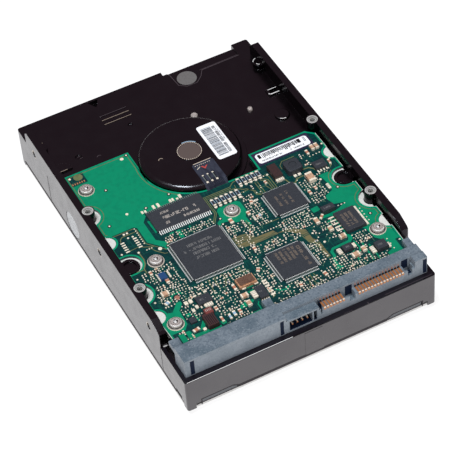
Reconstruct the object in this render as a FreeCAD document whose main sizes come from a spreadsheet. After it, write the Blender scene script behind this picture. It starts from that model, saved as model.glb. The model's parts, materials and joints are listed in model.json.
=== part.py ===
"""Hard disk drive, 3.5-inch form factor, as an assembly of separate pieces (millimetres).

Frame: +X across the drive, +Y from the connector end to the far end, +Z out of the circuit-board
side. The origin is at the centre of the footprint, on the plane the cover rests on.
"""
import FreeCAD
import Part
import Sketcher
import math
import os

from FreeCAD import Rotation, Vector

DIMENSIONS = {
    # case
    "body_wide": 101.6,
    "body_long": 147.0,
    "rail_top": 26.1,
    "deck_top": 19.5,
    "deck_start": -54.0,
    "front_top": 17.0,
    "case_low": 4.5,
    "foot_low": 2.1,
    "foot_wide": 3.4,
    "rail_thick": 2.9,
    "rail_end": 64.5,
    "cavity_radius": 48.2,
    "cavity_top": 17.0,
    "front_cavity_top": 14.5,
    "front_cavity_edge": -50.0,
    # mounting holes (6-32 thread, tap size)
    "mount_hole_radius": 1.4,
    "side_hole_z": 19.75,
    "side_hole_deep": 4.6,
    "side_port_z": 10.4,
    "side_near_y": -45.0,
    "side_middle_y": -3.4,
    "side_far_y": 56.6,
    "board_side_hole_x": 47.625,
    "board_side_near_y": -32.22,
    "board_side_far_y": 12.23,
    "mount_boss_radius": 2.5,
    "board_side_hole_deep": 6.0,
    # cover and gasket
    "cover_thick": 1.0,
    "flange_low": 2.5,
    "flange_x": 50.7,
    "flange_y": 73.4,
    "tab_out_x": 45.0,
    "tab_in_x": 31.0,
    "tab_top": 5.5,
    "tab_front": 73.2,
    "cover_screw_x": 44.6,
    "cover_screw_y": 68.2,
    "cover_middle_x": 44.8,
    "cover_middle_y": -17.2,
    # motor
    "spindle_y": 23.0,
    "dome_radius": 20.0,
    "dome_top": 24.0,
    "dome_foot_radius": 22.0,
    "dome_foot_tall": 0.5,
    "stator_pocket_radius": 17.0,
    "stator_pocket_top": 22.0,
    "sleeve_radius": 5.0,
    "sleeve_low": 8.0,
    "sleeve_top": 24.2,
    "shaft_radius": 2.0,
    "shaft_gap": 0.03,
    # disk pack
    "platter_radius": 47.5,
    "platter_bore": 12.5,
    "platter_thick": 1.27,
    "platter_gap": 2.2,
    "lowest_platter": 5.99,
    # actuator
    "pivot_x": -27.0,
    "pivot_y": -26.0,
    "arm_angle": 81.95,
    "arm_low": 4.44,
    "arm_thick": 0.9,
    "arm_reach": 36.0,
    "head_reach": 50.0,
    "coil_low": 8.2,
    "coil_thick": 2.0,
    "pivot_sleeve_radius": 5.5,
    "pivot_shaft_radius": 2.5,
    # voice-coil motor
    "yoke_thick": 2.0,
    "lower_yoke_low": 3.9,
    "upper_yoke_low": 12.5,
    "magnet_thick": 1.8,
    "yoke_post_reach": 38.5,
    # circuit board
    "board_low": 21.2,
    "board_top": 22.2,
    "board_x": 47.3,
    "board_far": 36.4,
    "board_near": -62.8,
    "board_arc_radius": 20.4,
    "boss_notch_radius": 5.0,
    "hole_notch_x": 47.3,
    "hole_notch_radius": 3.25,
    "lug_notch_x": 44.7,
    "lug_notch_radius": 4.6,
    "board_screw_radius": 1.15,
    "board_screw_hole": 1.3,
    # connector
    "housing_front": -70.9,
    "housing_back": -62.9,
    "housing_left": -49.2,
    "housing_right": 48.6,
    "housing_low": 17.0,
    "block_top": 25.3,
    "wall_top": 24.8,
    "tongue_top": 22.0,
    "contact_pitch": 1.27,
    "contact_wide": 0.84,
    "signal_first_x": 6.44,
    "power_first_x": 20.66,
}

BOARD_SCREWS = [(-42.4, 25.8), (-35.6, -20.2), (-42.8, -51.0), (0.0, -12.0), (41.8, -47.5)]
LOCATING_PINS = [(12.1, 43.6, 1.4), (32.6, 35.7, 1.0)]  # x, y, radius
STOP_PLACES = [(30.9, 240.2), (30.9, 313.9)]  # reach and angle from the pivot
YOKE_POST_ANGLES = (250, 305)
PLATTERS = 3
PLATTER_PITCH = "(dims.platter_thick + dims.platter_gap)"
STATOR_TEETH = 9
CLAMP_SCREWS = 6
BALLS = 8

doc = FreeCAD.newDocument("hard_disk_drive")
sheet = doc.addObject("Spreadsheet::Sheet", "dims")
sub_parts = []


def fill_sheet():
    """Write the driving dimensions, one aliased cell each."""
    for row, (alias, size) in enumerate(DIMENSIONS.items(), start=1):
        sheet.set(f"A{row}", alias)
        sheet.set(f"B{row}", str(size))
        sheet.setAlias(f"B{row}", alias)
    doc.recompute()


def value(expression):
    """The number that an expression on the sheet gives."""
    result = sheet.evalExpression(str(expression))
    return float(getattr(result, "Value", result))


# ---------------------------------------------------------------- PartDesign helpers

def new_body(label, pieces=False):
    body = doc.addObject("PartDesign::Body", label)
    body.Label = label
    body.AllowCompound = pieces
    sub_parts.append(body)
    return body


def origin_plane(body, role):
    return [item for item in body.Origin.OriginFeatures if item.Role == role][0]


def new_sketch(body, height="0", role="XY_Plane"):
    sketch = body.newObject("Sketcher::SketchObject", body.Name + "_sketch")
    sketch.AttachmentSupport = [(origin_plane(body, role), "")]
    sketch.MapMode = "FlatFace"
    sketch.setExpression("AttachmentOffset.Base.z", str(height))
    return sketch


def dimension(sketch, kind, geometry, point, expression):
    """Hold a point's distance from the sketch origin to an expression."""
    size = value(expression)
    index = sketch.addConstraint(Sketcher.Constraint(kind, -1, 1, geometry, point, size))
    sketch.setExpression(f"Constraints[{index}]", str(expression))


def outline(sketch, points):
    """A closed loop of straight lines through the points."""
    places = [Vector(value(across), value(along), 0) for across, along in points]
    first = sketch.GeometryCount
    count = len(places)
    sketch.addGeometry([Part.LineSegment(places[i], places[(i + 1) % count]) for i in range(count)])
    for i in range(count):
        sketch.addConstraint(Sketcher.Constraint("Coincident", first + i, 2, first + (i + 1) % count, 1))
    for i, (across, along) in enumerate(points):
        dimension(sketch, "DistanceX", first + i, 1, across)
        dimension(sketch, "DistanceY", first + i, 1, along)


def rectangle(sketch, left, near, right, far):
    outline(sketch, [(left, near), (right, near), (right, far), (left, far)])


def circle(sketch, across, along, radius):
    centre = Vector(value(across), value(along), 0)
    index = sketch.addGeometry(Part.Circle(centre, Vector(0, 0, 1), value(radius)))
    dimension(sketch, "DistanceX", index, 3, across)
    dimension(sketch, "DistanceY", index, 3, along)
    held = sketch.addConstraint(Sketcher.Constraint("Radius", index, value(radius)))
    sketch.setExpression(f"Constraints[{held}]", str(radius))


def pad(body, sketch, length, down=False):
    feature = body.newObject("PartDesign::Pad", body.Name + "_pad")
    feature.Profile = sketch
    feature.Reversed = down
    feature.setExpression("Length", str(length))
    sketch.Visibility = False
    doc.recompute()
    return feature


def pocket(body, sketch, length, along_normal=False):
    """Cut the sketch into the body, and stop if nothing was cut."""
    before = body.Shape.Volume
    feature = body.newObject("PartDesign::Pocket", body.Name + "_pocket")
    feature.Profile = sketch
    feature.Reversed = along_normal
    feature.setExpression("Length", str(length))
    doc.recompute()
    if not body.Shape.Volume < before:
        raise RuntimeError(f"{feature.Name} cuts nothing")
    return feature


def turned(body, points, centre_x="0", centre_y="0"):
    """A solid of revolution about a vertical line: points are (radius, height)."""
    sketch = new_sketch(body, f"-({centre_y})", "XZ_Plane")
    outline(sketch, [(f"{centre_x} + {radius}", height) for radius, height in points])
    axis = sketch.addGeometry(Part.LineSegment(Vector(value(centre_x), 0, 0),
                                               Vector(value(centre_x), 1, 0)), True)
    sketch.addConstraint(Sketcher.Constraint("Vertical", axis))
    dimension(sketch, "DistanceX", axis, 1, centre_x)
    dimension(sketch, "DistanceY", axis, 1, "0")
    dimension(sketch, "DistanceY", axis, 2, "1")
    feature = body.newObject("PartDesign::Revolution", body.Name + "_turned")
    feature.Profile = sketch
    feature.ReferenceAxis = (sketch, ["Axis0"])
    feature.Angle = 360
    doc.recompute()
    return feature


def edge_names(shape, wanted):
    return [f"Edge{i}" for i, edge in enumerate(shape.Edges, start=1) if wanted(edge)]


def dress(body, kind, size, wanted):
    """Fillet or chamfer every edge of the body that the test picks out."""
    base = body.Tip
    names = edge_names(body.Shape, wanted)
    if not names:
        raise RuntimeError(f"no edge of {body.Label} to dress")
    feature = body.newObject("PartDesign::" + kind, body.Name + "_" + kind.lower())
    feature.Base = (base, names)
    feature.setExpression("Radius" if kind == "Fillet" else "Size", str(size))
    doc.recompute()
    return feature


def upright_at(places, tolerance=0.05):
    """A test for vertical edges that stand over one of the places."""
    def wanted(edge):
        start = edge.Vertexes[0].Point
        end = edge.Vertexes[-1].Point
        if math.hypot(start.x - end.x, start.y - end.y) > tolerance or abs(start.z - end.z) < tolerance:
            return False
        return any(math.hypot(start.x - x, start.y - y) < tolerance for x, y in places)
    return wanted


def at_height(height, tolerance=0.01):
    """A test for edges that lie wholly at one height."""
    def wanted(edge):
        box = edge.BoundBox
        return abs(box.ZMin - height) < tolerance and abs(box.ZMax - height) < tolerance
    return wanted


# ---------------------------------------------------------------- Part helpers

def place(item, x="0", y="0", z="0", turn="0"):
    item.Placement.Rotation = Rotation(Vector(0, 0, 1), 0)
    item.setExpression(".Placement.Base.x", str(x))
    item.setExpression(".Placement.Base.y", str(y))
    item.setExpression(".Placement.Base.z", str(z))
    item.setExpression(".Placement.Rotation.Angle", str(turn))


def box(name, x, y, z, wide, long, tall):
    """A block centred on x and y, standing on z."""
    item = doc.addObject("Part::Box", name)
    item.setExpression("Length", str(wide))
    item.setExpression("Width", str(long))
    item.setExpression("Height", str(tall))
    place(item, f"{x} - {wide} / 2", f"{y} - {long} / 2", z)
    return item


def cylinder(name, x, y, z, radius, tall, sweep="360", turn="0"):
    item = doc.addObject("Part::Cylinder", name)
    item.setExpression("Radius", str(radius))
    item.setExpression("Height", str(tall))
    item.setExpression("Angle", str(sweep))
    place(item, x, y, z, turn)
    return item


def join(label, pieces, kind="Part::MultiFuse"):
    item = doc.addObject(kind, label)
    if kind == "Part::Compound":
        item.Links = pieces
    else:
        item.Shapes = pieces
    item.Label = label
    return item


def cut(label, base, tool):
    item = doc.addObject("Part::Cut", label)
    item.Base = base
    item.Tool = tool
    item.Label = label
    return item


def sub_part(item):
    sub_parts.append(item)
    return item


def tube(name, x, y, z, outer, inner, tall):
    wall = cylinder(name + "_outer", x, y, z, outer, tall)
    hole = cylinder(name + "_inner", x, y, z, inner, tall)
    return cut(name, wall, hole)


def sector(name, z, tall, inner, outer, start, sweep):
    """A flat ring sector about the actuator pivot, angles measured from +X."""
    plate = cylinder(name + "_plate", "dims.pivot_x", "dims.pivot_y", z, outer, tall, sweep, start)
    hole = cylinder(name + "_inner", "dims.pivot_x", "dims.pivot_y", z, inner, tall)
    return cut(name, plate, hole)


def around_pivot(reach, angle):
    """The x and y expressions of a point at a reach and angle from the pivot."""
    return (f"dims.pivot_x + {reach} * cos({angle} deg)", f"dims.pivot_y + {reach} * sin({angle} deg)")


# ---------------------------------------------------------------- case

def base_casting():
    body = new_body("base_casting")
    half_x = value("dims.body_wide / 2")
    half_y = value("dims.body_long / 2")
    corners = [(side * half_x, end * half_y) for side in (-1, 1) for end in (-1, 1)]

    walls = new_sketch(body, "dims.case_low")
    rectangle(walls, "-dims.body_wide / 2", "-dims.body_long / 2", "dims.body_wide / 2", "dims.body_long / 2")
    pad(body, walls, "dims.front_top - dims.case_low")
    deck = new_sketch(body, "dims.front_top")
    rectangle(deck, "-dims.body_wide / 2", "dims.deck_start", "dims.body_wide / 2", "dims.body_long / 2")
    pad(body, deck, "dims.deck_top - dims.front_top")
    feet = new_sketch(body, "dims.foot_low")
    for side in (-1, 1):
        for end in (-1, 1):
            rectangle(feet, f"{side} * dims.body_wide / 2", f"{end} * dims.body_long / 2",
                      f"{side} * (dims.body_wide / 2 - dims.foot_wide)", f"{end} * (dims.body_long / 2 - 3)")
    pad(body, feet, "dims.case_low - dims.foot_low")
    dress(body, "Fillet", "1.0", upright_at(corners))

    rail = new_sketch(body, "dims.body_wide / 2 - dims.rail_thick", "YZ_Plane")
    outline(rail, [("dims.deck_start", "dims.front_top"), ("dims.deck_start", "dims.rail_top - 2.6"),
                   ("dims.deck_start + 1", "dims.rail_top - 1.8"), ("dims.deck_start + 6", "dims.rail_top"),
                   ("dims.rail_end - 2", "dims.rail_top"), ("dims.rail_end", "dims.rail_top - 2"),
                   ("dims.rail_end", "dims.front_top")])
    rail_pad = pad(body, rail, "dims.rail_thick")
    other_rail = body.newObject("PartDesign::Mirrored", "other_rail")
    other_rail.Originals = [rail_pad]
    other_rail.MirrorPlane = (origin_plane(body, "YZ_Plane"), [""])
    body.Tip = other_rail
    doc.recompute()

    mount_bosses(body)
    motor_dome(body)
    deck_relief(body)
    inner_cavity(body)
    casting_holes(body)
    lower_rim(body)
    return body


def mount_bosses(body):
    """Posts of the mounting holes, side-hole bosses, cover-screw lugs and board standoffs."""
    posts = new_sketch(body, "dims.deck_top")
    for side in (-1, 1):
        for along in ("dims.board_side_near_y", "dims.board_side_far_y"):
            circle(posts, f"{side} * dims.board_side_hole_x", along, "dims.mount_boss_radius")
    pad(body, posts, "dims.rail_top - dims.deck_top")
    bosses = new_sketch(body, "dims.deck_top")
    for side in (-1, 1):
        for along in ("dims.side_near_y", "dims.side_middle_y", "dims.side_far_y"):
            circle(bosses, f"{side} * (dims.body_wide / 2 - dims.rail_thick)", along, "2.7")
        circle(bosses, f"{side} * dims.cover_middle_x", "dims.cover_middle_y", "3.6")
    pad(body, bosses, "2.2")
    lug_pits = new_sketch(body, "dims.deck_top + 2.2")
    for side in (-1, 1):
        circle(lug_pits, f"{side} * dims.cover_middle_x", "dims.cover_middle_y", "2.5")
    pocket(body, lug_pits, "0.6")
    standoffs = new_sketch(body, "dims.deck_top")
    for x, y in BOARD_SCREWS:
        circle(standoffs, x, y, "2.2")
    pad(body, standoffs, "dims.board_low - dims.deck_top")


def motor_dome(body):
    foot = new_sketch(body, "dims.deck_top")
    circle(foot, "0", "dims.spindle_y", "dims.dome_foot_radius")
    pad(body, foot, "dims.dome_foot_tall")
    dome = new_sketch(body, "dims.deck_top")
    circle(dome, "0", "dims.spindle_y", "dims.dome_radius")
    pad(body, dome, "dims.dome_top - dims.deck_top")
    dress(body, "Fillet", "2.1", lambda edge: at_height(value("dims.dome_top"))(edge)
          and abs(edge.BoundBox.XLength - 2 * value("dims.dome_radius")) < 0.1)
    dress(body, "Fillet", "0.2", lambda edge: at_height(value("dims.deck_top + dims.dome_foot_tall"))(edge)
          and abs(edge.BoundBox.XLength - 2 * value("dims.dome_foot_radius")) < 0.1)


def deck_relief(body):
    """Shallow steps, bars and dimples on the outer face of the deck."""
    far = "dims.body_long / 2"
    shelf = new_sketch(body, "dims.deck_top")
    outline(shelf, [(12.0, far), (14.4, 70.2), (14.9, 62.9), (17.6, 60.7), (22.1, 60.7), (25.0, 63.2),
                    (27.0, 66.3), (43.8, 66.5), (43.8, far)])
    pocket(body, shelf, "0.6")
    ledge = new_sketch(body, "dims.deck_top")
    rectangle(ledge, 12.0, f"{far} - 2.2", 43.8, far)
    pocket(body, ledge, "2.5")
    notch = new_sketch(body, "dims.deck_top")
    outline(notch, [(-20.8, f"{far} - 1"), (-18.6, f"{far} - 5.4"), (-16.4, f"{far} - 1")])
    pocket(body, notch, "1.8")
    bars = new_sketch(body, "dims.deck_top")
    for row in range(3):
        rectangle(bars, -20.3, 57.4 + 2.5 * row, -8.4, 57.8 + 2.5 * row)
    pad(body, bars, "0.2")
    dimples = new_sketch(body, "dims.deck_top")
    circle(dimples, -36.6, 46.4, 1.4)
    circle(dimples, -11.5, 52.5, 1.0)
    pocket(body, dimples, "0.5")
    humps = new_sketch(body, "dims.deck_top")
    circle(humps, 42.0, 26.6, 3.0)
    turns = [math.radians(angle) for angle in range(-10, 125, 15)]
    round_side = [(-45 + 4 * math.cos(turn), 42.5 + 4 * math.sin(turn)) for turn in turns]
    outline(humps, [(-47.4, 41.8)] + round_side + [(-47.4, 45.7)])
    rectangle(humps, 42.6, 38.2, 47.4, 41.8)
    pad(body, humps, "0.8")
    dress(body, "Fillet", "0.5", at_height(value("dims.deck_top + 0.8")))
    groove = new_sketch(body, "dims.deck_top + 0.8")
    rectangle(groove, 43.8, 39.3, 46.8, 40.9)
    pocket(body, groove, "1.4")


def inner_cavity(body):
    """Round disk bay and, towards the connector, the bay for the actuator."""
    disk_bay = new_sketch(body, "dims.case_low")
    circle(disk_bay, "0", "dims.spindle_y", "dims.cavity_radius")
    pocket(body, disk_bay, "dims.cavity_top - dims.case_low", along_normal=True)
    actuator_bay = new_sketch(body, "dims.case_low")
    outline(actuator_bay, bay_outline("dims.front_cavity_edge", 0))
    pocket(body, actuator_bay, "dims.cavity_top - dims.case_low", along_normal=True)
    front_bay = new_sketch(body, "dims.case_low")
    outline(front_bay, [(-39, -69.5), (39, -69.5), (46, -62), (46, "dims.front_cavity_edge"),
                        (-46, "dims.front_cavity_edge"), (-46, -62)])
    pocket(body, front_bay, "dims.front_cavity_top - dims.case_low", along_normal=True)
    stator_bay = new_sketch(body, "dims.cavity_top")
    circle(stator_bay, "0", "dims.spindle_y", "dims.stator_pocket_radius")
    pocket(body, stator_bay, "dims.stator_pocket_top - dims.cavity_top", along_normal=True)
    stator_post = new_sketch(body, "dims.cavity_top - 2")
    circle(stator_post, "0", "dims.spindle_y", "7.9")
    pad(body, stator_post, "dims.stator_pocket_top - dims.cavity_top + 2")
    stop_posts = new_sketch(body, "6.5")
    for reach, angle in STOP_PLACES:
        circle(stop_posts, *around_pivot(reach, angle), "0.9")
    pad(body, stop_posts, "dims.cavity_top - 6.5 + 0.2")


def bay_outline(near_edge, clearance):
    """Walls of the actuator bay from its near edge up to the disk bay."""
    narrow = 41.2 + clearance
    wide = 46 + clearance
    step = -23 + clearance
    return [(-wide, near_edge), (wide, near_edge), (wide, step), (narrow, step), (narrow, -2), (-narrow, -2),
            (-narrow, step), (-wide, step)]


def casting_holes(body):
    bore = new_sketch(body, "dims.dome_top")
    circle(bore, "0", "dims.spindle_y", "dims.sleeve_radius")
    pocket(body, bore, "dims.dome_top")
    for side, into in ((1, False), (-1, True)):
        holes = new_sketch(body, f"{side} * dims.body_wide / 2", "YZ_Plane")
        for along in ("dims.side_near_y", "dims.side_middle_y", "dims.side_far_y"):
            circle(holes, along, "dims.side_hole_z", "dims.mount_hole_radius")
        pocket(body, holes, "dims.side_hole_deep", along_normal=into)
    mounts = new_sketch(body, "dims.rail_top")
    for side in (-1, 1):
        for along in ("dims.board_side_near_y", "dims.board_side_far_y"):
            circle(mounts, f"{side} * dims.board_side_hole_x", along, "dims.mount_hole_radius")
    pocket(body, mounts, "dims.board_side_hole_deep")
    board_holes = new_sketch(body, "dims.board_low")
    for x, y in BOARD_SCREWS:
        circle(board_holes, x, y, "dims.board_screw_radius + 0.05")
    pocket(body, board_holes, "3.0")
    cover_holes = new_sketch(body, "dims.case_low")
    for x, y in cover_screw_places():
        circle(cover_holes, x, y, "0.95")
    pocket(body, cover_holes, "5.5", along_normal=True)
    yoke_holes = new_sketch(body, "dims.front_cavity_top")
    for angle in YOKE_POST_ANGLES:
        circle(yoke_holes, *around_pivot("dims.yoke_post_reach", angle), "1.0")
    pocket(body, yoke_holes, "1.7", along_normal=True)
    for_connector = new_sketch(body, "dims.deck_top")
    rectangle(for_connector, 11.8, -39.1, 28.2, -33.9)
    pocket(body, for_connector, "dims.deck_top - dims.cavity_top + 1")
    for_pins = new_sketch(body, "dims.deck_top")
    for x, y, radius in LOCATING_PINS:
        circle(for_pins, x, y, radius)
    pocket(body, for_pins, "1.0")
    side_port = new_sketch(body, "-dims.body_wide / 2", "YZ_Plane")
    circle(side_port, "dims.spindle_y", "dims.side_port_z", "5.8")
    pocket(body, side_port, "0.3", along_normal=True)


def lower_rim(body):
    """Notches where the cover's tabs come up, in the lower rim."""
    front = new_sketch(body, "dims.tab_front - dims.cover_thick - 0.2", "XZ_Plane")
    for side in (-1, 1):
        outline(front, tab_outline(side, "dims.case_low - 0.1", "0.3"))
    pocket(body, front, "2.0", along_normal=True)
    sides = new_sketch(body, "dims.case_low")
    for side in (-1, 1):
        rectangle(sides, f"{side} * dims.body_wide / 2", -69.0, f"{side} * (dims.body_wide / 2 - 1.2)", -64.5)
    pocket(body, sides, "1.3", along_normal=True)
    rib = new_sketch(body, "dims.case_low")
    rectangle(rib, -0.4, "-dims.body_long / 2", 0.0, "-dims.body_long / 2 + 0.15")
    pocket(body, rib, "7", along_normal=True)


def cover_screw_places():
    corners = [(f"{side} * dims.cover_screw_x", f"{end} * dims.cover_screw_y")
               for side in (-1, 1) for end in (-1, 1)]
    return corners + [(f"{side} * dims.cover_middle_x", "dims.cover_middle_y") for side in (-1, 1)]


def flange_outline(inset):
    """Outline shared by the cover flange and the gasket, notched at the case feet."""
    x = f"(dims.flange_x - {inset})"
    y = f"(dims.flange_y - {inset})"
    inner_x = "(dims.body_wide / 2 - dims.foot_wide - 0.3)"
    inner_y = "(dims.body_long / 2 - 3.3)"
    quarter = [(x, inner_y), (inner_x, inner_y), (inner_x, y)]
    right = quarter + [(f"-{across}", along) for across, along in reversed(quarter)]
    return right + [(f"-{across}", f"-{along}") for across, along in quarter] + [
        (across, f"-{along}") for across, along in reversed(quarter)]


def tray_outline(inset):
    """Raised panel of the cover, with its corners cut off."""
    x = 41.8 - inset
    y = 65.5 - inset
    cut_off = 7.0 - 0.4 * inset
    return [(-x + cut_off, -y), (x - cut_off, -y), (x, -y + cut_off), (x, y - cut_off), (x - cut_off, y),
            (-x + cut_off, y), (-x, y - cut_off), (-x, -y + cut_off)]


def tab_outline(side, low, gap):
    """Front view of a cover tab with a sloping inner end, grown by a gap."""
    out_x = f"{side} * (dims.tab_out_x + {gap})"
    return [(out_x, low), (out_x, f"dims.tab_top - 0.3 + {gap}"),
            (f"{side} * (dims.tab_out_x - 0.4 + {gap})", f"dims.tab_top + {gap}"),
            (f"{side} * (dims.tab_in_x + 2 - {gap})", f"dims.tab_top + {gap}"),
            (f"{side} * (dims.tab_in_x - {gap})", f"dims.tab_top - 0.9 + {gap}"),
            (f"{side} * (dims.tab_in_x - {gap})", low)]


def top_cover():
    body = new_body("top_cover")
    flange = new_sketch(body, "dims.flange_low")
    outline(flange, flange_outline(0))
    pad(body, flange, "dims.cover_thick")
    tray = new_sketch(body, "0")
    outline(tray, tray_outline(0))
    pad(body, tray, "dims.flange_low + dims.cover_thick")
    tabs = new_sketch(body, "dims.tab_front - dims.cover_thick", "XZ_Plane")
    for side in (-1, 1):
        outline(tabs, tab_outline(side, "dims.flange_low", "0"))
    pad(body, tabs, "dims.cover_thick")
    inside = new_sketch(body, "dims.flange_low + dims.cover_thick")
    outline(inside, tray_outline(1.2))
    pocket(body, inside, "dims.flange_low")
    holes = new_sketch(body, "dims.flange_low")
    for x, y in cover_screw_places():
        circle(holes, x, y, "1.15")
    pocket(body, holes, "dims.cover_thick", along_normal=True)
    dress(body, "Fillet", "0.6", at_height(0.0))
    return body


def cover_gasket():
    body = new_body("cover_gasket")
    low = "dims.flange_low + dims.cover_thick"
    ring = new_sketch(body, low)
    outline(ring, flange_outline(0.05))
    pad(body, ring, f"dims.case_low - ({low})")
    tabs = new_sketch(body, low)
    for side in (-1, 1):
        rectangle(tabs, f"{side} * (dims.tab_in_x - 0.3)", "-dims.body_long / 2",
                  f"{side} * (dims.tab_out_x + 0.3)", "-dims.tab_front + dims.cover_thick + 0.1")
    pocket(body, tabs, "2", along_normal=True)
    disk_bay = new_sketch(body, low)
    circle(disk_bay, "0", "dims.spindle_y", "dims.cavity_radius + 0.2")
    pocket(body, disk_bay, "2", along_normal=True)
    bay = new_sketch(body, low)
    outline(bay, bay_outline(-50, 0.2))
    pocket(body, bay, "2", along_normal=True)
    front = new_sketch(body, low)
    outline(front, [(-39.1, -69.7), (39.1, -69.7), (46.2, -62.1), (46.2, -49), (-46.2, -49), (-46.2, -62.1)])
    pocket(body, front, "2", along_normal=True)
    holes = new_sketch(body, low)
    for x, y in cover_screw_places():
        circle(holes, x, y, "1.15")
    pocket(body, holes, "2", along_normal=True)
    return body


def cover_screws():
    body = new_body("cover_screws", pieces=True)
    heads = new_sketch(body, "dims.flange_low - 1.1")
    for x, y in cover_screw_places():
        circle(heads, x, y, "2.0")
    pad(body, heads, "1.1")
    shanks = new_sketch(body, "dims.flange_low")
    for x, y in cover_screw_places():
        circle(shanks, x, y, "0.9")
    pad(body, shanks, "6.5")
    dress(body, "Chamfer", "0.3", at_height(value("dims.flange_low - 1.1")))
    drives = new_sketch(body, "dims.flange_low - 1.1")
    for x, y in cover_screw_places():
        hexagon(drives, x, y, 0.85)
    pocket(body, drives, "0.8", along_normal=True)
    return body


def hexagon(sketch, x, y, radius):
    corners = [(f"{x} + {radius * math.cos(math.radians(60 * i)):.4f}",
                f"{y} + {radius * math.sin(math.radians(60 * i)):.4f}") for i in range(6)]
    outline(sketch, corners)


# ---------------------------------------------------------------- circuit board and what it carries

def insulator_sheet():
    """White sheet under the board, raised into caps over the side-hole bosses."""
    body = new_body("insulator_sheet")
    field = new_sketch(body, "dims.deck_top")
    outline(field, [(-46.9, -53.5), (46.9, -53.5), (46.9, 6.5), (43.2, 10.8), (19.6, 10.8), (19.6, 2.0),
                    (0, 2.0), (0, "dims.spindle_y"), (-20.6, "dims.spindle_y"), (-20.6, 35.8), (-46.9, 35.8)])
    pad(body, field, "dims.board_low - dims.deck_top")
    caps = new_sketch(body, "dims.deck_top")
    for side in (-1, 1):
        for along in ("dims.side_near_y", "dims.side_middle_y"):
            circle(caps, f"{side} * dims.hole_notch_x", along, "dims.hole_notch_radius - 0.1")
    pad(body, caps, "dims.board_top - dims.deck_top - 0.15")
    trims = new_sketch(body, "dims.board_top")
    rectangle(trims, "dims.board_x - 0.5", -60, 56, 60)
    rectangle(trims, -56, -60, "-dims.body_wide / 2 + dims.rail_thick + 0.1", 60)
    pocket(body, trims, "4")
    dome = new_sketch(body, "dims.board_top")
    circle(dome, "0", "dims.spindle_y", "dims.dome_foot_radius + 0.2")
    pocket(body, dome, "4")
    under_caps = new_sketch(body, "dims.deck_top")
    for side in (-1, 1):
        for along in ("dims.side_near_y", "dims.side_middle_y"):
            circle(under_caps, f"{side} * (dims.body_wide / 2 - dims.rail_thick)", along, "2.75")
    pocket(body, under_caps, "2.25", along_normal=True)
    holes = new_sketch(body, "dims.board_low")
    for side in (-1, 1):
        for along in ("dims.board_side_near_y", "dims.board_side_far_y"):
            circle(holes, f"{side} * dims.board_side_hole_x", along, "dims.mount_boss_radius + 0.2")
        circle(holes, f"{side} * dims.cover_middle_x", "dims.cover_middle_y", "3.9")
    for x, y in BOARD_SCREWS:
        circle(holes, x, y, "2.4")
    rectangle(holes, 11.6, -39.3, 28.4, -33.7)
    pocket(body, holes, "4")
    return body


def circuit_board():
    body = new_body("circuit_board")
    field = new_sketch(body, "dims.board_low")
    outline(field, [(-46.6, "dims.board_near"), (46.9, "dims.board_near"), ("dims.board_x", -50),
                    ("dims.board_x - 0.5", 8.6), (43.6, 11.6), (19, 11.4), (18.8, "dims.spindle_y - 20.4"),
                    (0, "dims.spindle_y - 20.4"), (0, "dims.spindle_y"), (-20, "dims.spindle_y"),
                    (-20, "dims.board_far"), ("-dims.board_x", "dims.board_far"), ("-dims.board_x", -49)])
    pad(body, field, "dims.board_top - dims.board_low")
    round_cuts = new_sketch(body, "dims.board_top")
    circle(round_cuts, "0", "dims.spindle_y", "dims.board_arc_radius")
    circle(round_cuts, -48.1, "dims.board_side_far_y + 0.3", "dims.boss_notch_radius")
    for side in (-1, 1):
        circle(round_cuts, f"{side} * 48", "dims.board_side_near_y", "dims.boss_notch_radius")
        for along in ("dims.side_near_y", "dims.side_middle_y"):
            circle(round_cuts, f"{side} * dims.hole_notch_x", along, "dims.hole_notch_radius")
        circle(round_cuts, f"{side} * dims.lug_notch_x", "dims.cover_middle_y", "dims.lug_notch_radius")
    for x, y in BOARD_SCREWS:
        circle(round_cuts, x, y, "dims.board_screw_hole")
    pocket(body, round_cuts, "2")
    mouths = new_sketch(body, "dims.board_top")
    for side in (-1, 1):
        rectangle(mouths, f"{side} * dims.lug_notch_x", "dims.cover_middle_y - dims.lug_notch_radius",
                  f"{side} * 49", "dims.cover_middle_y + dims.lug_notch_radius")
    pocket(body, mouths, "2")
    return body


def board_screws():
    body = new_body("board_screws", pieces=True)
    layers = (("dims.board_top", 3.0, "0.35"), ("dims.board_top + 0.35", 2.5, "1.15"))
    for low, radius, tall in layers:
        heads = new_sketch(body, low)
        for x, y in BOARD_SCREWS:
            circle(heads, x, y, radius)
        pad(body, heads, tall)
    dress(body, "Fillet", "0.8", at_height(value("dims.board_top + 1.5")))
    shanks = new_sketch(body, "dims.board_top")
    for x, y in BOARD_SCREWS:
        circle(shanks, x, y, "dims.board_screw_radius")
    pad(body, shanks, "3.8", down=True)
    drives = new_sketch(body, "dims.board_top + 1.5")
    for x, y in BOARD_SCREWS:
        hexagon(drives, x, y, 1.0)
    pocket(body, drives, "0.8")
    return body


def chip(label, x, y, wide, long, tall):
    """A moulded chip body with bevelled top edges and a pin-one dimple."""
    body = new_body(label)
    field = new_sketch(body, "dims.board_top")
    rectangle(field, x - wide / 2, y - long / 2, x + wide / 2, y + long / 2)
    pad(body, field, tall)
    top = value("dims.board_top") + tall
    dress(body, "Chamfer", 0.15, at_height(top))
    dimple = new_sketch(body, top)
    circle(dimple, x - wide / 2 + 1.1, y + long / 2 - 1.1, 0.35)
    pocket(body, dimple, 0.1)
    return body


def blocks(label, places):
    """A group of separate small blocks on the board: x, y, width, length, height."""
    pieces = [box(f"{label}_{i}", x, y, "dims.board_top", wide, long, tall)
              for i, (x, y, wide, long, tall) in enumerate(places)]
    return sub_part(join(label, pieces, "Part::Compound"))


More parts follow.
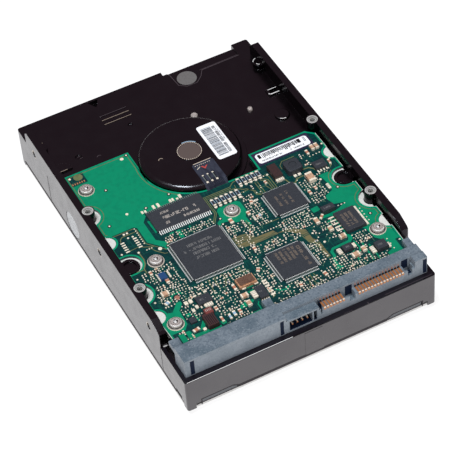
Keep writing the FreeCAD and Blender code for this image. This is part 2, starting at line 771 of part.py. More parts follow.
def board_chips():
    chip("controller_chip", -18.1, -26.4, 20.0, 20.0, 1.4)
    chip("memory_chip", -17.7, -2.9, 22.2, 10.2, 1.0)
    chip("interface_chip", 6.9, -45.9, 14.0, 14.0, 1.4)
    chip("motor_driver_chip", 19.8, -17.4, 12.7, 12.7, 1.4)
    chip("regulator_chip", 35.0, -38.8, 8.2, 10.7, 1.6)
    blocks("small_chips", [(39.4, -8.0, 4.9, 3.9, 1.4), (-29.3, -46.4, 5.5, 3.8, 1.4),
                           (-9.8, -53.7, 3.4, 6.0, 1.4), (-37.0, -53.0, 2.5, 2.5, 0.9)])
    blocks("diodes", [(30.6, -30.0, 5.2, 2.6, 2.0), (27.2, -50.8, 3.6, 2.8, 1.6),
                      (38.2, -56.0, 4.3, 3.9, 1.9)])
    blocks("tantalum_capacitors", [(22.8, -3.2, 3.4, 6.8, 2.3), (-31.8, -56.8, 4.0, 6.0, 2.3)])
    blocks("ceramic_capacitors", [(33.1, -12.3, 2.6, 4.4, 1.6), (41.6, 1.8, 1.3, 2.5, 0.9),
                                  (43.4, 1.8, 1.3, 2.5, 0.9), (28.7, -44.5, 2.4, 1.7, 1.1),
                                  (28.3, -55.0, 2.8, 2.0, 1.1), (32.2, -54.0, 1.6, 2.2, 1.0),
                                  (24.3, -33.0, 1.5, 2.8, 0.9), (26.8, -39.0, 1.6, 2.2, 0.9),
                                  (-40.0, -36.8, 2.8, 2.0, 1.1), (-15.8, -52.0, 2.6, 1.8, 1.1),
                                  (-16.0, -56.0, 1.5, 2.4, 1.0), (-37.0, -29.0, 2.6, 3.2, 1.4)])
    upper_row = [(x, -0.2, 1.5, 3.4, 0.7) for x in (9.0, 11.1, 13.15, 15.2, 17.2)]
    lower_row = [(x, -5.1, 1.5, 3.6, 0.7) for x in (-4.3, -2.3, -0.2, 1.8, 3.9, 6.0)]
    blocks("resistor_arrays", upper_row + lower_row)


def power_inductor():
    body = new_body("power_inductor")
    base = new_sketch(body, "dims.board_top")
    rectangle(base, 26.8, -7.4, 33.0, -1.2)
    pad(body, base, 2.8)
    dress(body, "Fillet", 1.2, upright_at([(x, y) for x in (26.8, 33.0) for y in (-7.4, -1.2)]))
    dress(body, "Fillet", 0.5, at_height(value("dims.board_top") + 2.8))
    core = new_sketch(body, value("dims.board_top") + 2.8)
    circle(core, 29.9, -4.3, 1.5)
    pocket(body, core, 0.4)
    return body


def oscillator_can():
    body = new_body("oscillator_can")
    base = new_sketch(body, "dims.board_top")
    rectangle(base, -15.7, -48.5, -8.7, -43.9)
    pad(body, base, 1.2)
    lid = new_sketch(body, "dims.board_top + 1.2")
    rectangle(lid, -15.2, -48.0, -9.2, -44.4)
    pad(body, lid, 0.4)
    return body


def connector_housing():
    body = new_body("connector_housing")
    low = "dims.housing_low"
    solids = [
        ("dims.housing_left", "dims.housing_front", -9, "dims.housing_back", "dims.block_top"),
        (-9, "dims.housing_front + 3.4", "dims.housing_right", "dims.housing_back", "dims.wall_top"),
        (-9, "dims.housing_front", 4.2, "dims.housing_front + 3.4", "dims.wall_top - 1.4"),
        (4.2, "dims.housing_front", 43.6, "dims.housing_front + 3.4", "dims.tongue_top"),
        (43.6, "dims.housing_front", "dims.housing_right", "dims.housing_front + 3.4", "dims.block_top"),
    ]
    for left, near, right, far, top in solids:
        block = new_sketch(body, low)
        rectangle(block, left, near, right, far)
        pad(body, block, f"{top} - {low}")
    lugs = new_sketch(body, "dims.board_top")
    for left, right in ((-49.2, -45.5), (-12.3, -9.0), (45.5, 48.2)):
        rectangle(lugs, left, "dims.housing_back - 0.5", right, -58.4)
    pad(body, lugs, "dims.wall_top - 0.6 - dims.board_top")
    front = "-dims.housing_front"
    slots = new_sketch(body, front, "XZ_Plane")
    rectangle(slots, -46.9, 18, -45.7, 24.3)
    rectangle(slots, -11.5, 18, -10.4, 24.3)
    rectangle(slots, 2.0, 18, 3.3, 22.5)
    rectangle(slots, 46.9, 18, 48.2, 24.3)
    pocket(body, slots, 2.6)
    header = new_sketch(body, front, "XZ_Plane")
    outline(header, [(-7.8, 18), (1.4, 18), (1.4, 22.5), (-7.8, 22.5)])
    pocket(body, header, 4.6)
    keys = new_sketch(body, "dims.tongue_top")
    for left, right in ((4.5, 5.5), (14.7, 19.2), (39.8, 43.2)):
        rectangle(keys, left, "dims.housing_front + 0.7", right, "dims.housing_front + 3.4")
    pocket(body, keys, 3.6)
    mouths = new_sketch(body, front, "XZ_Plane")
    rectangle(mouths, 4.8, 19.6, 5.5, "dims.tongue_top")
    rectangle(mouths, 16.6, 19.6, 18.9, "dims.tongue_top")
    rectangle(mouths, 40.6, 19.6, 42.4, "dims.tongue_top")
    pocket(body, mouths, 0.8)
    return body


def connector_contacts():
    """Seven signal and fifteen power contacts, each bent down over the tongue's front edge."""
    body = new_body("connector_contacts", pieces=True)
    for first, count in (("dims.signal_first_x", 7), ("dims.power_first_x", 15)):
        profile = new_sketch(body, f"{first} - dims.contact_wide / 2", "YZ_Plane")
        front = "dims.housing_front"
        top = "dims.tongue_top"
        outline(profile, [(f"{front} + 3.4", top), (f"{front} + 3.4", f"{top} + 0.25"),
                          (f"{front} - 0.1", f"{top} + 0.25"), (f"{front} - 0.25", f"{top} + 0.1"),
                          (f"{front} - 0.25", f"{top} - 0.7"), (front, f"{top} - 0.7"), (front, top)])
        strip = pad(body, profile, "dims.contact_wide")
        row = body.newObject("PartDesign::LinearPattern", body.Name + "_row")
        row.Originals = [strip]
        row.Direction = (origin_plane(body, "YZ_Plane"), [""])
        row.Occurrences = count
        row.setExpression("Length", f"dims.contact_pitch * {count - 1}")
        body.Tip = row
        doc.recompute()
    return body


def header_pins():
    pieces = [box(f"header_pin_{i}", -6.4 + 2.0 * i, -68.4, 20.0, 0.5, 4.2, 0.5) for i in range(4)]
    return sub_part(join("header_pins", pieces, "Part::Compound"))


def motor_flex_strip():
    """Film from a slot in the dome, over its shoulder and down to the board edge."""
    body = new_body("motor_flex_strip")
    profile = new_sketch(body, -3.1, "YZ_Plane")
    outline(profile, [(15.3, 24.0), (15.3, 24.12), (4.17, 24.12), (2.83, 22.83), (2.6, 22.35), (1.9, 22.35),
                      (1.9, 22.2), (2.68, 22.2), (2.95, 22.77), (4.22, 24.0)])
    pad(body, profile, 9.0)
    dress(body, "Fillet", "0.9", upright_at([(-3.1, 15.3), (5.9, 15.3)]))
    return body


def labels_and_seals():
    dome_label = new_body("dome_label")
    area = new_sketch(dome_label, "dims.dome_top")
    rectangle(area, 7.6, 12.8, 15.6, 33.0)
    pad(dome_label, area, 0.1)
    corners = [(x, y) for x in (7.6, 15.6) for y in (12.8, 33.0)]
    dress(dome_label, "Fillet", 1.0, upright_at(corners))
    board_label = new_body("board_label")
    area = new_sketch(board_label, "dims.board_top")
    rectangle(area, 20.6, 4.3, 42.8, 9.6)
    pad(board_label, area, 0.1)
    corners = [(x, y) for x in (20.6, 42.8) for y in (4.3, 9.6)]
    dress(board_label, "Fillet", 1.2, upright_at(corners))
    sub_part(cylinder("breather_seal", 19.8, 65.6, "dims.deck_top - 0.6", 4.0, 0.15))
    seal = sub_part(doc.addObject("Part::Cylinder", "side_port_seal"))
    seal.setExpression("Radius", "5.6")
    seal.setExpression("Height", "0.2")
    seal.Placement.Rotation = Rotation(Vector(0, 1, 0), 90)
    seal.setExpression(".Placement.Base.x", "-dims.body_wide / 2 + 0.1")
    seal.setExpression(".Placement.Base.y", "dims.spindle_y")
    seal.setExpression(".Placement.Base.z", "dims.side_port_z")


def locating_pins():
    body = new_body("locating_pins", pieces=True)
    pins = new_sketch(body, "dims.deck_top - 1.0")
    for x, y, radius in LOCATING_PINS:
        circle(pins, x, y, radius)
    pad(body, pins, 2.2)
    dress(body, "Fillet", 0.6, at_height(value("dims.deck_top") + 1.2))
    return body


# ---------------------------------------------------------------- spindle motor and disks

def bearing_sleeve():
    body = new_body("bearing_sleeve")
    turned(body, [("dims.shaft_radius + dims.shaft_gap", "dims.sleeve_low"),
                  ("dims.sleeve_radius", "dims.sleeve_low"), ("dims.sleeve_radius", "dims.sleeve_top"),
                  ("4.3", "dims.sleeve_top"), ("4.3", "dims.sleeve_top - 1"),
                  ("dims.shaft_radius + dims.shaft_gap", "dims.sleeve_top - 1")],
           "0", "dims.spindle_y")
    return body


def spindle_seal():
    return sub_part(cylinder("spindle_seal", "0", "dims.spindle_y", "dims.sleeve_top - 1", 4.3, 0.9))


def spindle_shaft():
    return sub_part(cylinder("spindle_shaft", "0", "dims.spindle_y", 6.2, "dims.shaft_radius",
                             "dims.sleeve_top - 1.1 - 6.2"))


def spindle_hub():
    body = new_body("spindle_hub")
    flange = "dims.lowest_platter + 3 * dims.platter_thick + 2 * dims.platter_gap"
    turned(body, [("dims.shaft_radius", "6.2"), ("dims.platter_bore", "6.2"),
                  ("dims.platter_bore", flange), ("16.6", flange), ("16.6", "21.4"), ("15.4", "21.4"),
                  ("15.4", "17.6"), ("8.6", "17.6"), ("8.6", "14.6"), ("5.4", "14.6"), ("5.4", "7.7"),
                  ("dims.shaft_radius", "7.7")], "0", "dims.spindle_y")
    holes = new_sketch(body, "6.2")
    for x, y in clamp_screw_places():
        circle(holes, x, y, "0.95")
    pocket(body, holes, "4.5", along_normal=True)
    return body


def clamp_screw_places():
    steps = [60 * i for i in range(CLAMP_SCREWS)]
    return [(f"9 * cos({angle} deg)", f"dims.spindle_y + 9 * sin({angle} deg)") for angle in steps]


def rotor_magnet():
    return sub_part(tube("rotor_magnet", "0", "dims.spindle_y", 17.6, 15.4, 13.9, 3.4))


def stator_core():
    """Laminated ring with nine teeth, pressed on the casting's post."""
    parts = [cylinder("stator_ring", "0", "dims.spindle_y", 18.7, 9.6, 2.0)]
    for tooth in range(STATOR_TEETH):
        angle = 360 / STATOR_TEETH * tooth
        stem = doc.addObject("Part::Box", f"stator_stem_{tooth}")
        stem.setExpression("Length", "4.4")
        stem.setExpression("Width", "1.6")
        stem.setExpression("Height", "2.0")
        place(stem, f"9 * cos({angle} deg) + 0.8 * sin({angle} deg)",
              f"dims.spindle_y + 9 * sin({angle} deg) - 0.8 * cos({angle} deg)", 18.7, angle)
        shoe = sector_about_spindle(f"stator_shoe_{tooth}", 12.7, 13.5, angle - 15, 30)
        parts += [stem, shoe]
    wheel = join("stator_wheel", parts)
    bore = cylinder("stator_bore", "0", "dims.spindle_y", 18.7, 7.9, 2.0)
    return sub_part(cut("stator_core", wheel, bore))


def sector_about_spindle(name, inner, outer, start, sweep):
    ring = cylinder(name + "_outer", "0", "dims.spindle_y", 18.7, outer, 2.0, sweep, start)
    hole = cylinder(name + "_inner", "0", "dims.spindle_y", 18.7, inner, 2.0)
    return cut(name, ring, hole)


def stator_coils():
    coils = []
    for tooth in range(STATOR_TEETH):
        angle = 360 / STATOR_TEETH * tooth
        outer = doc.addObject("Part::Box", f"coil_outer_{tooth}")
        inner = doc.addObject("Part::Box", f"coil_inner_{tooth}")
        for item, wide, low, tall in ((outer, 3.0, 18.0, 3.4), (inner, 1.6, 18.7, 2.0)):
            item.setExpression("Length", "2.6")
            item.setExpression("Width", str(wide))
            item.setExpression("Height", str(tall))
            place(item, f"9.8 * cos({angle} deg) + {wide / 2} * sin({angle} deg)",
                  f"dims.spindle_y + 9.8 * sin({angle} deg) - {wide / 2} * cos({angle} deg)", low, angle)
        coils.append(cut(f"coil_{tooth}", outer, inner))
    return sub_part(join("stator_coils", coils, "Part::Compound"))


def stack_of_rings(label, low, outer, inner, tall, count):
    rings = [tube(f"{label}_{i}", "0", "dims.spindle_y", f"{low} + {i} * {PLATTER_PITCH}", outer, inner, tall)
             for i in range(count)]
    return sub_part(join(label, rings, "Part::Compound"))


def disk_clamp():
    body = new_body("disk_clamp")
    turned(body, [("3.0", "4.9"), ("13.4", "4.9"), ("15.0", "5.3"), ("15.0", "dims.lowest_platter"),
                  ("12.8", "dims.lowest_platter"), ("12.2", "5.7"), ("3.0", "5.7")], "0", "dims.spindle_y")
    holes = new_sketch(body, "4.9")
    for x, y in clamp_screw_places():
        circle(holes, x, y, "1.1")
    pocket(body, holes, "2", along_normal=True)
    return body


def clamp_screws():
    body = new_body("clamp_screws", pieces=True)
    heads = new_sketch(body, "3.9")
    for x, y in clamp_screw_places():
        circle(heads, x, y, "1.8")
    pad(body, heads, "1.0")
    shanks = new_sketch(body, "4.9")
    for x, y in clamp_screw_places():
        circle(shanks, x, y, "0.9")
    pad(body, shanks, "5.0")
    drives = new_sketch(body, "3.9")
    for x, y in clamp_screw_places():
        hexagon(drives, x, y, 0.7)
    pocket(body, drives, "0.6", along_normal=True)
    return body


# ---------------------------------------------------------------- actuator, turning about the pivot


def at_pivot(item):
    """Turn a piece drawn with its arm along +X to the parked angle, about the pivot."""
    place(item, "dims.pivot_x", "dims.pivot_y", "0", "dims.arm_angle")
    return item


def lift_row(body, feature, count):
    """Repeat a layer upwards, one platter pitch apart."""
    row = body.newObject("PartDesign::LinearPattern", body.Name + "_layers")
    row.Originals = [feature]
    row.Direction = (origin_plane(body, "XY_Plane"), [""])
    row.Occurrences = count
    row.setExpression("Length", f"{count - 1} * {PLATTER_PITCH}")
    body.Tip = row
    doc.recompute()


def actuator_arm_block():
    body = new_body("actuator_arm_block")
    hub = new_sketch(body, "dims.arm_low")
    circle(hub, 0, 0, 8.0)
    pad(body, hub, f"3 * {PLATTER_PITCH} + dims.arm_thick")
    arm = new_sketch(body, "dims.arm_low")
    outline(arm, [(2, -7.0), ("dims.arm_reach", -2.6), ("dims.arm_reach", 2.6), (2, 7.0)])
    layer = pad(body, arm, "dims.arm_thick")
    lift_row(body, layer, PLATTERS + 1)
    fork = new_sketch(body, "dims.coil_low")
    outline(fork, [(-5, -5.5), (-34.6, -10.3), (-34.6, 10.3), (-5, 5.5)])
    pad(body, fork, "dims.coil_thick")
    mouth = new_sketch(body, "dims.coil_low")
    outline(mouth, [(-17.5, -6.0), (-41, -10.13), (-41, 10.13), (-17.5, 6.0)])
    pocket(body, mouth, "dims.coil_thick", along_normal=True)
    bore = new_sketch(body, "dims.arm_low")
    circle(bore, 0, 0, "dims.pivot_sleeve_radius")
    pocket(body, bore, "20", along_normal=True)
    windows = new_sketch(body, "dims.arm_low")
    outline(windows, [(13, -2.8), (29, -1.2), (29, 1.2), (13, 2.8)])
    pocket(body, windows, "20", along_normal=True)
    return at_pivot(body)


def voice_coil():
    body = new_body("voice_coil")
    winding = new_sketch(body, "dims.coil_low")
    outline(winding, [(-17.5, -5.98), (-34.0, -8.87), (-34.0, 8.87), (-17.5, 5.98)])
    pad(body, winding, "dims.coil_thick")
    window = new_sketch(body, "dims.coil_low")
    outline(window, [(-20.6, -3.1), (-30.8, -5.0), (-30.8, 5.0), (-20.6, 3.1)])
    pocket(body, window, "dims.coil_thick", along_normal=True)
    dress(body, "Fillet", 1.2, upright_at([(-34.0, -8.87), (-34.0, 8.87)]))
    return at_pivot(body)


def suspensions():
    """Load beams on the arm tips: three facing up, three facing down."""
    body = new_body("suspensions", pieces=True)
    beam = [(30.5, -2.3), (37.0, -2.3), ("dims.head_reach + 1.3", -0.7), ("dims.head_reach + 1.3", 0.7),
            (37.0, 2.3), (30.5, 2.3)]
    for low in ("dims.arm_low + dims.arm_thick", f"dims.arm_low + {PLATTER_PITCH} - 0.3"):
        sheet_metal = new_sketch(body, low)
        outline(sheet_metal, beam)
        lift_row(body, pad(body, sheet_metal, "0.3"), PLATTERS)
    return at_pivot(body)


def head_sliders():
    body = new_body("head_sliders", pieces=True)
    for low in ("dims.arm_low + dims.arm_thick + 0.3", f"dims.arm_low + {PLATTER_PITCH} - 0.6"):
        slider = new_sketch(body, low)
        rectangle(slider, "dims.head_reach - 0.65", -0.5, "dims.head_reach + 0.65", 0.5)
        lift_row(body, pad(body, slider, "0.3"), PLATTERS)
    return at_pivot(body)


def pivot_pieces():
    """Pivot shaft, two ball bearings and the sleeve that the arm block is pressed on."""
    x = "dims.pivot_x"
    y = "dims.pivot_y"
    shaft = cylinder("pivot_pin", x, y, 3.9, "dims.pivot_shaft_radius", "dims.cavity_top - 3.9")
    flange = cylinder("pivot_flange", x, y, "dims.cavity_top - 1.0", 4.2, 1.0)
    sub_part(join("pivot_shaft", [shaft, flange]))
    sub_part(tube("pivot_sleeve", x, y, 4.6, "dims.pivot_sleeve_radius", 4.6, 11.0))
    inner_rings = []
    outer_rings = []
    balls = []
    for low in (4.8, 12.8):
        middle = low + 1.2
        inner = tube(f"inner_race_{low:.0f}", x, y, low, 3.2, "dims.pivot_shaft_radius", 2.4)
        outer = tube(f"outer_race_{low:.0f}", x, y, low, 4.6, 3.9, 2.4)
        for ring, kept, groove_name in ((inner, inner_rings, "inner_groove"),
                                        (outer, outer_rings, "outer_groove")):
            groove = doc.addObject("Part::Torus", f"{groove_name}_{low:.0f}")
            groove.setExpression("Radius1", "3.55")
            groove.setExpression("Radius2", "0.64")
            place(groove, x, y, middle)
            kept.append(cut(f"{ring.Label}_grooved", ring, groove))
        for ball in range(BALLS):
            sphere = doc.addObject("Part::Sphere", f"ball_{low:.0f}_{ball}")
            sphere.setExpression("Radius", "0.6")
            place(sphere, *around_pivot(3.55, 360 / BALLS * ball), middle)
            balls.append(sphere)
    sub_part(join("bearing_inner_rings", inner_rings, "Part::Compound"))
    sub_part(join("bearing_outer_rings", outer_rings, "Part::Compound"))
    sub_part(join("bearing_balls", balls, "Part::Compound"))


def yokes_and_magnets():
    """Two steel yoke plates on spacers, a magnet on the inner face of each."""
    plates = (("upper_yoke_plate", "dims.upper_yoke_low"), ("lower_yoke_plate", "dims.lower_yoke_low"))
    for label, low in plates:
        parts = [sector(label + "_sector", low, "dims.yoke_thick", 16, 35.5, 246, 62)]
        holes = []
        for angle in YOKE_POST_ANGLES:
            x, y = around_pivot("dims.yoke_post_reach", angle)
            parts.append(cylinder(f"{label}_ear_{angle}", x, y, low, 3.6, "dims.yoke_thick"))
            holes.append(cylinder(f"{label}_hole_{angle}", x, y, low, 1.05, "dims.yoke_thick"))
            if label.startswith("lower"):
                holes.append(cylinder(f"{label}_sink_{angle}", x, y, low, 2.1, "1.2"))
        sub_part(cut(label, join(label + "_blank", parts), join(label + "_holes", holes)))
    upper_low = "dims.upper_yoke_low - dims.magnet_thick"
    lower_low = "dims.lower_yoke_low + dims.yoke_thick"
    upper = sector("upper_magnet", upper_low, "dims.magnet_thick", 19, 33, 249, 56)
    lower = sector("lower_magnet", lower_low, "dims.magnet_thick", 19, 33, 249, 56)
    sub_part(join("voice_coil_magnets", [upper, lower], "Part::Compound"))
    spacers = []
    screws = []
    gap_low = "dims.lower_yoke_low + dims.yoke_thick"
    for angle in YOKE_POST_ANGLES:
        x, y = around_pivot("dims.yoke_post_reach", angle)
        spacer_tall = f"dims.upper_yoke_low - ({gap_low})"
        spacers.append(tube(f"yoke_spacer_{angle}", x, y, gap_low, 2.2, 1.05, spacer_tall))
        shank = cylinder(f"yoke_shank_{angle}", x, y, "dims.lower_yoke_low", 0.95, "12.2")
        head = cylinder(f"yoke_head_{angle}", x, y, "dims.lower_yoke_low", 2.0, "1.2")
        screws.append(join(f"yoke_screw_{angle}", [shank, head]))
    sub_part(join("yoke_spacers", spacers, "Part::Compound"))
    sub_part(join("yoke_screws", screws, "Part::Compound"))


def crash_stops():
    rings = []
    for reach, angle in STOP_PLACES:
        x, y = around_pivot(reach, angle)
        rings.append(tube(f"crash_stop_{angle:.0f}", x, y, 6.6, 2.0, 0.9, 6.0))
    return sub_part(join("crash_stops", rings, "Part::Compound"))


def wiring_and_filters():
    """Bulkhead connector, bracket and flex lead of the heads, and the two air filters."""
    sub_part(box("bulkhead_connector", 20, -36.5, 14.0, 16.0, 4.8, 7.2))
    bracket = box("bracket_block", 20, -36.5, 11.0, 20.0, 8.0, 3.0)
    tab = box("bracket_tab", 7.4, -36.5, 11.0, 5.6, 6.0, 3.0)
    sub_part(join("flex_bracket", [bracket, tab]))
    body = new_body("head_flex_cable")
    path = new_sketch(body, 8.6)
    outline(path, [(-17.6, -26.1), (-12.0, -25.0), (-5.0, -26.5), (1.5, -31.0), (4.4, -34.5), (4.2, -34.7),
                   (1.3, -31.25), (-5.1, -26.8), (-12.0, -25.3), (-17.5, -26.4)])
    pad(body, path, 4.6)
    sub_part(box("recirculation_filter", 35.0, -30.5, 6.0, 12.0, 3.0, 9.5))
    sub_part(box("desiccant_filter", 33.0, -58.0, 5.0, 16.0, 12.0, 9.0))


# ---------------------------------------------------------------- build and write

def build():
    fill_sheet()
    base_casting()
    top_cover()
    cover_gasket()
    cover_screws()
    insulator_sheet()
    circuit_board()
    board_screws()
    board_chips()
    power_inductor()
    oscillator_can()
    connector_housing()
    connector_contacts()
    header_pins()
    motor_flex_strip()
    labels_and_seals()
    locating_pins()
    bearing_sleeve()
    spindle_seal()
    spindle_shaft()
    spindle_hub()
    rotor_magnet()
    stator_core()
    stator_coils()
    stack_of_rings("platters", "dims.lowest_platter", "dims.platter_radius", "dims.platter_bore",
                   "dims.platter_thick", PLATTERS)
    stack_of_rings("platter_spacers", "dims.lowest_platter + dims.platter_thick", "15.5",
                   "dims.platter_bore", "dims.platter_gap", PLATTERS - 1)
    disk_clamp()
    clamp_screws()
    actuator_arm_block()
    voice_coil()
    suspensions()
    head_sliders()
    pivot_pieces()
    yokes_and_magnets()
    crash_stops()
    wiring_and_filters()
    doc.recompute()


def write():
    """Stop on any failed object, then write one STEP file per sub-part."""
    failed = [item.Label for item in doc.Objects if {"Invalid", "Error"} & set(item.State)]
    if failed:
        raise RuntimeError("failed objects: " + ", ".join(failed))
    for item in sub_parts:
        if item.Shape.isNull() or not item.Shape.isValid() or not item.Shape.Solids:
            raise RuntimeError("bad shape: " + item.Label)
    os.makedirs("parts", exist_ok=True)
    for item in sub_parts:
        item.Shape.exportStep(f"parts/{item.Label}.step")
        print(f"{item.Label}: {len(item.Shape.Solids)} solids, {item.Shape.Volume:.1f} mm3")


build()
write()
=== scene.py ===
"""Looks of the hard disk drive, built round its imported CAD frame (metres, same frame as the CAD)."""
import json
import math
import random

import bmesh
import bpy
from mathutils import Matrix, Vector


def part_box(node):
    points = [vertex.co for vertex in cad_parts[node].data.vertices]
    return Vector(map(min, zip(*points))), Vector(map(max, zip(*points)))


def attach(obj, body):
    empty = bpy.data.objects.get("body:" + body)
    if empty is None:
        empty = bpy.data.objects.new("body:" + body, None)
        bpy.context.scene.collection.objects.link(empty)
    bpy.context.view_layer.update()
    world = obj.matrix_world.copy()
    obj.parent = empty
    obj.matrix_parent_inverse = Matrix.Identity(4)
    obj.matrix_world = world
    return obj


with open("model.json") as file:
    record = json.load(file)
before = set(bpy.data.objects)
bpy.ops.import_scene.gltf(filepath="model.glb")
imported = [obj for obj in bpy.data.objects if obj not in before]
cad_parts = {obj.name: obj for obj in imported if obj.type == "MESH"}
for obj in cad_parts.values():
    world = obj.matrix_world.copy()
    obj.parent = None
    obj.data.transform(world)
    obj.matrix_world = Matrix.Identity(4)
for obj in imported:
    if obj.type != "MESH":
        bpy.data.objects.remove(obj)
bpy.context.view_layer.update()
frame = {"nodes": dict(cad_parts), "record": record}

MM = 0.001
CASE = "case"


# ---------------------------------------------------------------- places read from the frame

def box_mm(node):
    """Lowest and highest corner of a CAD node, in millimetres."""
    low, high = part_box(node)
    return [value / MM for value in low], [value / MM for value in high]


def middle(low, high):
    """Middle of a box, seen from above."""
    return (low[0] + high[0]) / 2, (low[1] + high[1]) / 2


def islands(node):
    """Boxes, in millimetres, of the separate solids in a CAD node, sorted by x."""
    work = bmesh.new()
    work.from_mesh(frame["nodes"][node].data)
    bmesh.ops.remove_doubles(work, verts=work.verts, dist=1e-6)
    left = set(work.verts)
    boxes = []
    while left:
        stack = [left.pop()]
        found = [stack[0]]
        while stack:
            for edge in stack.pop().link_edges:
                for vert in edge.verts:
                    if vert in left:
                        left.remove(vert)
                        stack.append(vert)
                        found.append(vert)
        low = [min(vert.co[axis] for vert in found) / MM for axis in range(3)]
        high = [max(vert.co[axis] for vert in found) / MM for axis in range(3)]
        boxes.append((low, high))
    work.free()
    return sorted(boxes)


BOARD_TOP = box_mm("circuit_board")[1][2]
SLEEVE_LOW, SLEEVE_HIGH = box_mm("bearing_sleeve")
SPINDLE_X, SPINDLE_Y = middle(SLEEVE_LOW, SLEEVE_HIGH)
QUARTER = math.pi / 2
# places, levels and thread radii of the case, in millimetres
BLUE_CAPACITOR = (-37.0, -29.0)
POSTS = [(x, y) for x in (-47.625, 47.625) for y in (-32.22, 12.23)]
POST_TOP = 26.05
SIDE_HOLES = [-45.0, -3.4, 56.6]
SIDE_HOLE_HEIGHT = 19.75
THREAD = (1.42, 1.12)
RAIL_INSIDE = 50.35
DECK = 19.5
DOME_TOP = 23.98
PRINT = 0.012


# ---------------------------------------------------------------- materials

def linear(red, green, blue):
    """Screen colour, 0 to 255, as linear light."""
    def channel(value):
        value /= 255
        return value / 12.92 if value <= 0.04045 else ((value + 0.055) / 1.055) ** 2.4
    return (channel(red), channel(green), channel(blue), 1.0)


class Finish:
    """A principled material with named procedural layers."""

    def __init__(self, name, colour, rough, metal=0.0):
        self.material = bpy.data.materials.new(name)
        self.material.use_nodes = True
        self.tree = self.material.node_tree
        self.shader = self.tree.nodes["Principled BSDF"]
        self.shader.inputs["Base Color"].default_value = colour
        self.shader.inputs["Roughness"].default_value = rough
        self.shader.inputs["Metallic"].default_value = metal
        self.colour = None
        self.height = None
        place = self.tree.nodes.new("ShaderNodeTexCoord")
        self.place = place.outputs["Object"]

    def node(self, kind, **settings):
        made = self.tree.nodes.new(kind)
        for key, setting in settings.items():
            setattr(made, key, setting)
        return made

    def link(self, source, target):
        self.tree.links.new(source, target)

    def noise(self, size_mm, detail=3.0, stretch=(1, 1, 1)):
        """Noise with features of about the given size; stretch lengthens them along an axis."""
        mapping = self.node("ShaderNodeMapping")
        mapping.inputs["Scale"].default_value = [1 / value for value in stretch]
        noise = self.node("ShaderNodeTexNoise")
        noise.inputs["Scale"].default_value = 1 / (size_mm * MM)
        noise.inputs["Detail"].default_value = detail
        self.link(self.place, mapping.inputs["Vector"])
        self.link(mapping.outputs[0], noise.inputs["Vector"])
        return noise.outputs["Fac"]

    def ramp(self, source, low, high, start=0.0, end=1.0):
        """Values from low to high spread over start to end."""
        ramp = self.node("ShaderNodeMapRange")
        for socket, value in zip(ramp.inputs, (source, low, high, start, end)):
            self.feed(socket, value)
        return ramp.outputs["Result"]

    def feed(self, socket, value):
        """Link a socket to another node's output, or set it to a plain value."""
        if isinstance(value, bpy.types.NodeSocket):
            self.link(value, socket)
        else:
            socket.default_value = value

    def calc(self, operation, *values, kind="Math", output=0):
        step = self.node("ShaderNode" + kind, operation=operation)
        for socket, value in zip(step.inputs, values):
            self.feed(socket, value)
        return step.outputs[output]

    def axis(self, source, name):
        split = self.node("ShaderNodeSeparateXYZ")
        self.link(source, split.inputs[0])
        return split.outputs[name]

    def tint(self, mask, colour, strength=1.0):
        """Mix another colour over the present one where the mask is high."""
        mix = self.node("ShaderNodeMix", data_type="RGBA")
        if self.colour is None:
            mix.inputs["A"].default_value = self.shader.inputs["Base Color"].default_value
        else:
            self.link(self.colour, mix.inputs["A"])
        mix.inputs["B"].default_value = colour
        self.link(self.calc("MULTIPLY", mask, strength), mix.inputs["Factor"])
        self.colour = mix.outputs["Result"]
        self.link(self.colour, self.shader.inputs["Base Color"])
        return self

    def speckle(self, size_mm, colour, strength, low=0.45, high=0.65, stretch=(1, 1, 1)):
        return self.tint(self.ramp(self.noise(size_mm, stretch=stretch), low, high), colour, strength)

    def uneven(self, size_mm, low, high, stretch=(1, 1, 1)):
        """Roughness that wanders between two values."""
        rough = self.ramp(self.noise(size_mm, stretch=stretch), 0.3, 0.7, low, high)
        self.link(rough, self.shader.inputs["Roughness"])
        return self

    def grain(self, size_mm, depth_mm, stretch=(1, 1, 1)):
        """Bump of the given feature size and depth."""
        bump = self.node("ShaderNodeBump")
        bump.inputs["Distance"].default_value = depth_mm * MM
        bump.inputs["Strength"].default_value = 1.0
        self.link(self.noise(size_mm, stretch=stretch), bump.inputs["Height"])
        if self.height is not None:
            self.link(self.height, bump.inputs["Normal"])
        self.height = bump.outputs["Normal"]
        self.link(self.height, self.shader.inputs["Normal"])
        return self

    def soft_edges(self, radius_mm):
        """Rounded look on sharp edges."""
        bevel = self.node("ShaderNodeBevel", samples=4)
        bevel.inputs["Radius"].default_value = radius_mm * MM
        self.height = bevel.outputs["Normal"]
        self.link(self.height, self.shader.inputs["Normal"])
        return self

    def near(self, x, y, reach):
        """Mask that is one within reach of a point on the board, in millimetres."""
        flat = self.calc("MULTIPLY", self.place, (1, 1, 0), kind="VectorMath")
        apart = self.calc("DISTANCE", flat, (x * MM, y * MM, 0), kind="VectorMath", output="Value")
        return self.calc("LESS_THAN", apart, reach * MM)

    def above(self, height):
        """Mask that is one over a height in millimetres."""
        return self.calc("GREATER_THAN", self.axis(self.place, "Z"), height * MM)

    def upright(self):
        """Mask that is one on faces standing upright."""
        facing = self.node("ShaderNodeNewGeometry")
        return self.ramp(self.axis(facing.outputs["Normal"], "Z"), 0.5, 0.1)

    def between_rails(self):
        """Mask that is one over the deck, inside the outer faces of the two rails."""
        aside = self.calc("ABSOLUTE", self.axis(self.place, "X"))
        within = self.calc("LESS_THAN", aside, RAIL_INSIDE * MM)
        return self.calc("MULTIPLY", within, self.above(DECK - 0.05))

    def shine(self, coat, coat_rough=0.1):
        self.shader.inputs["Coat Weight"].default_value = coat
        self.shader.inputs["Coat Roughness"].default_value = coat_rough
        return self


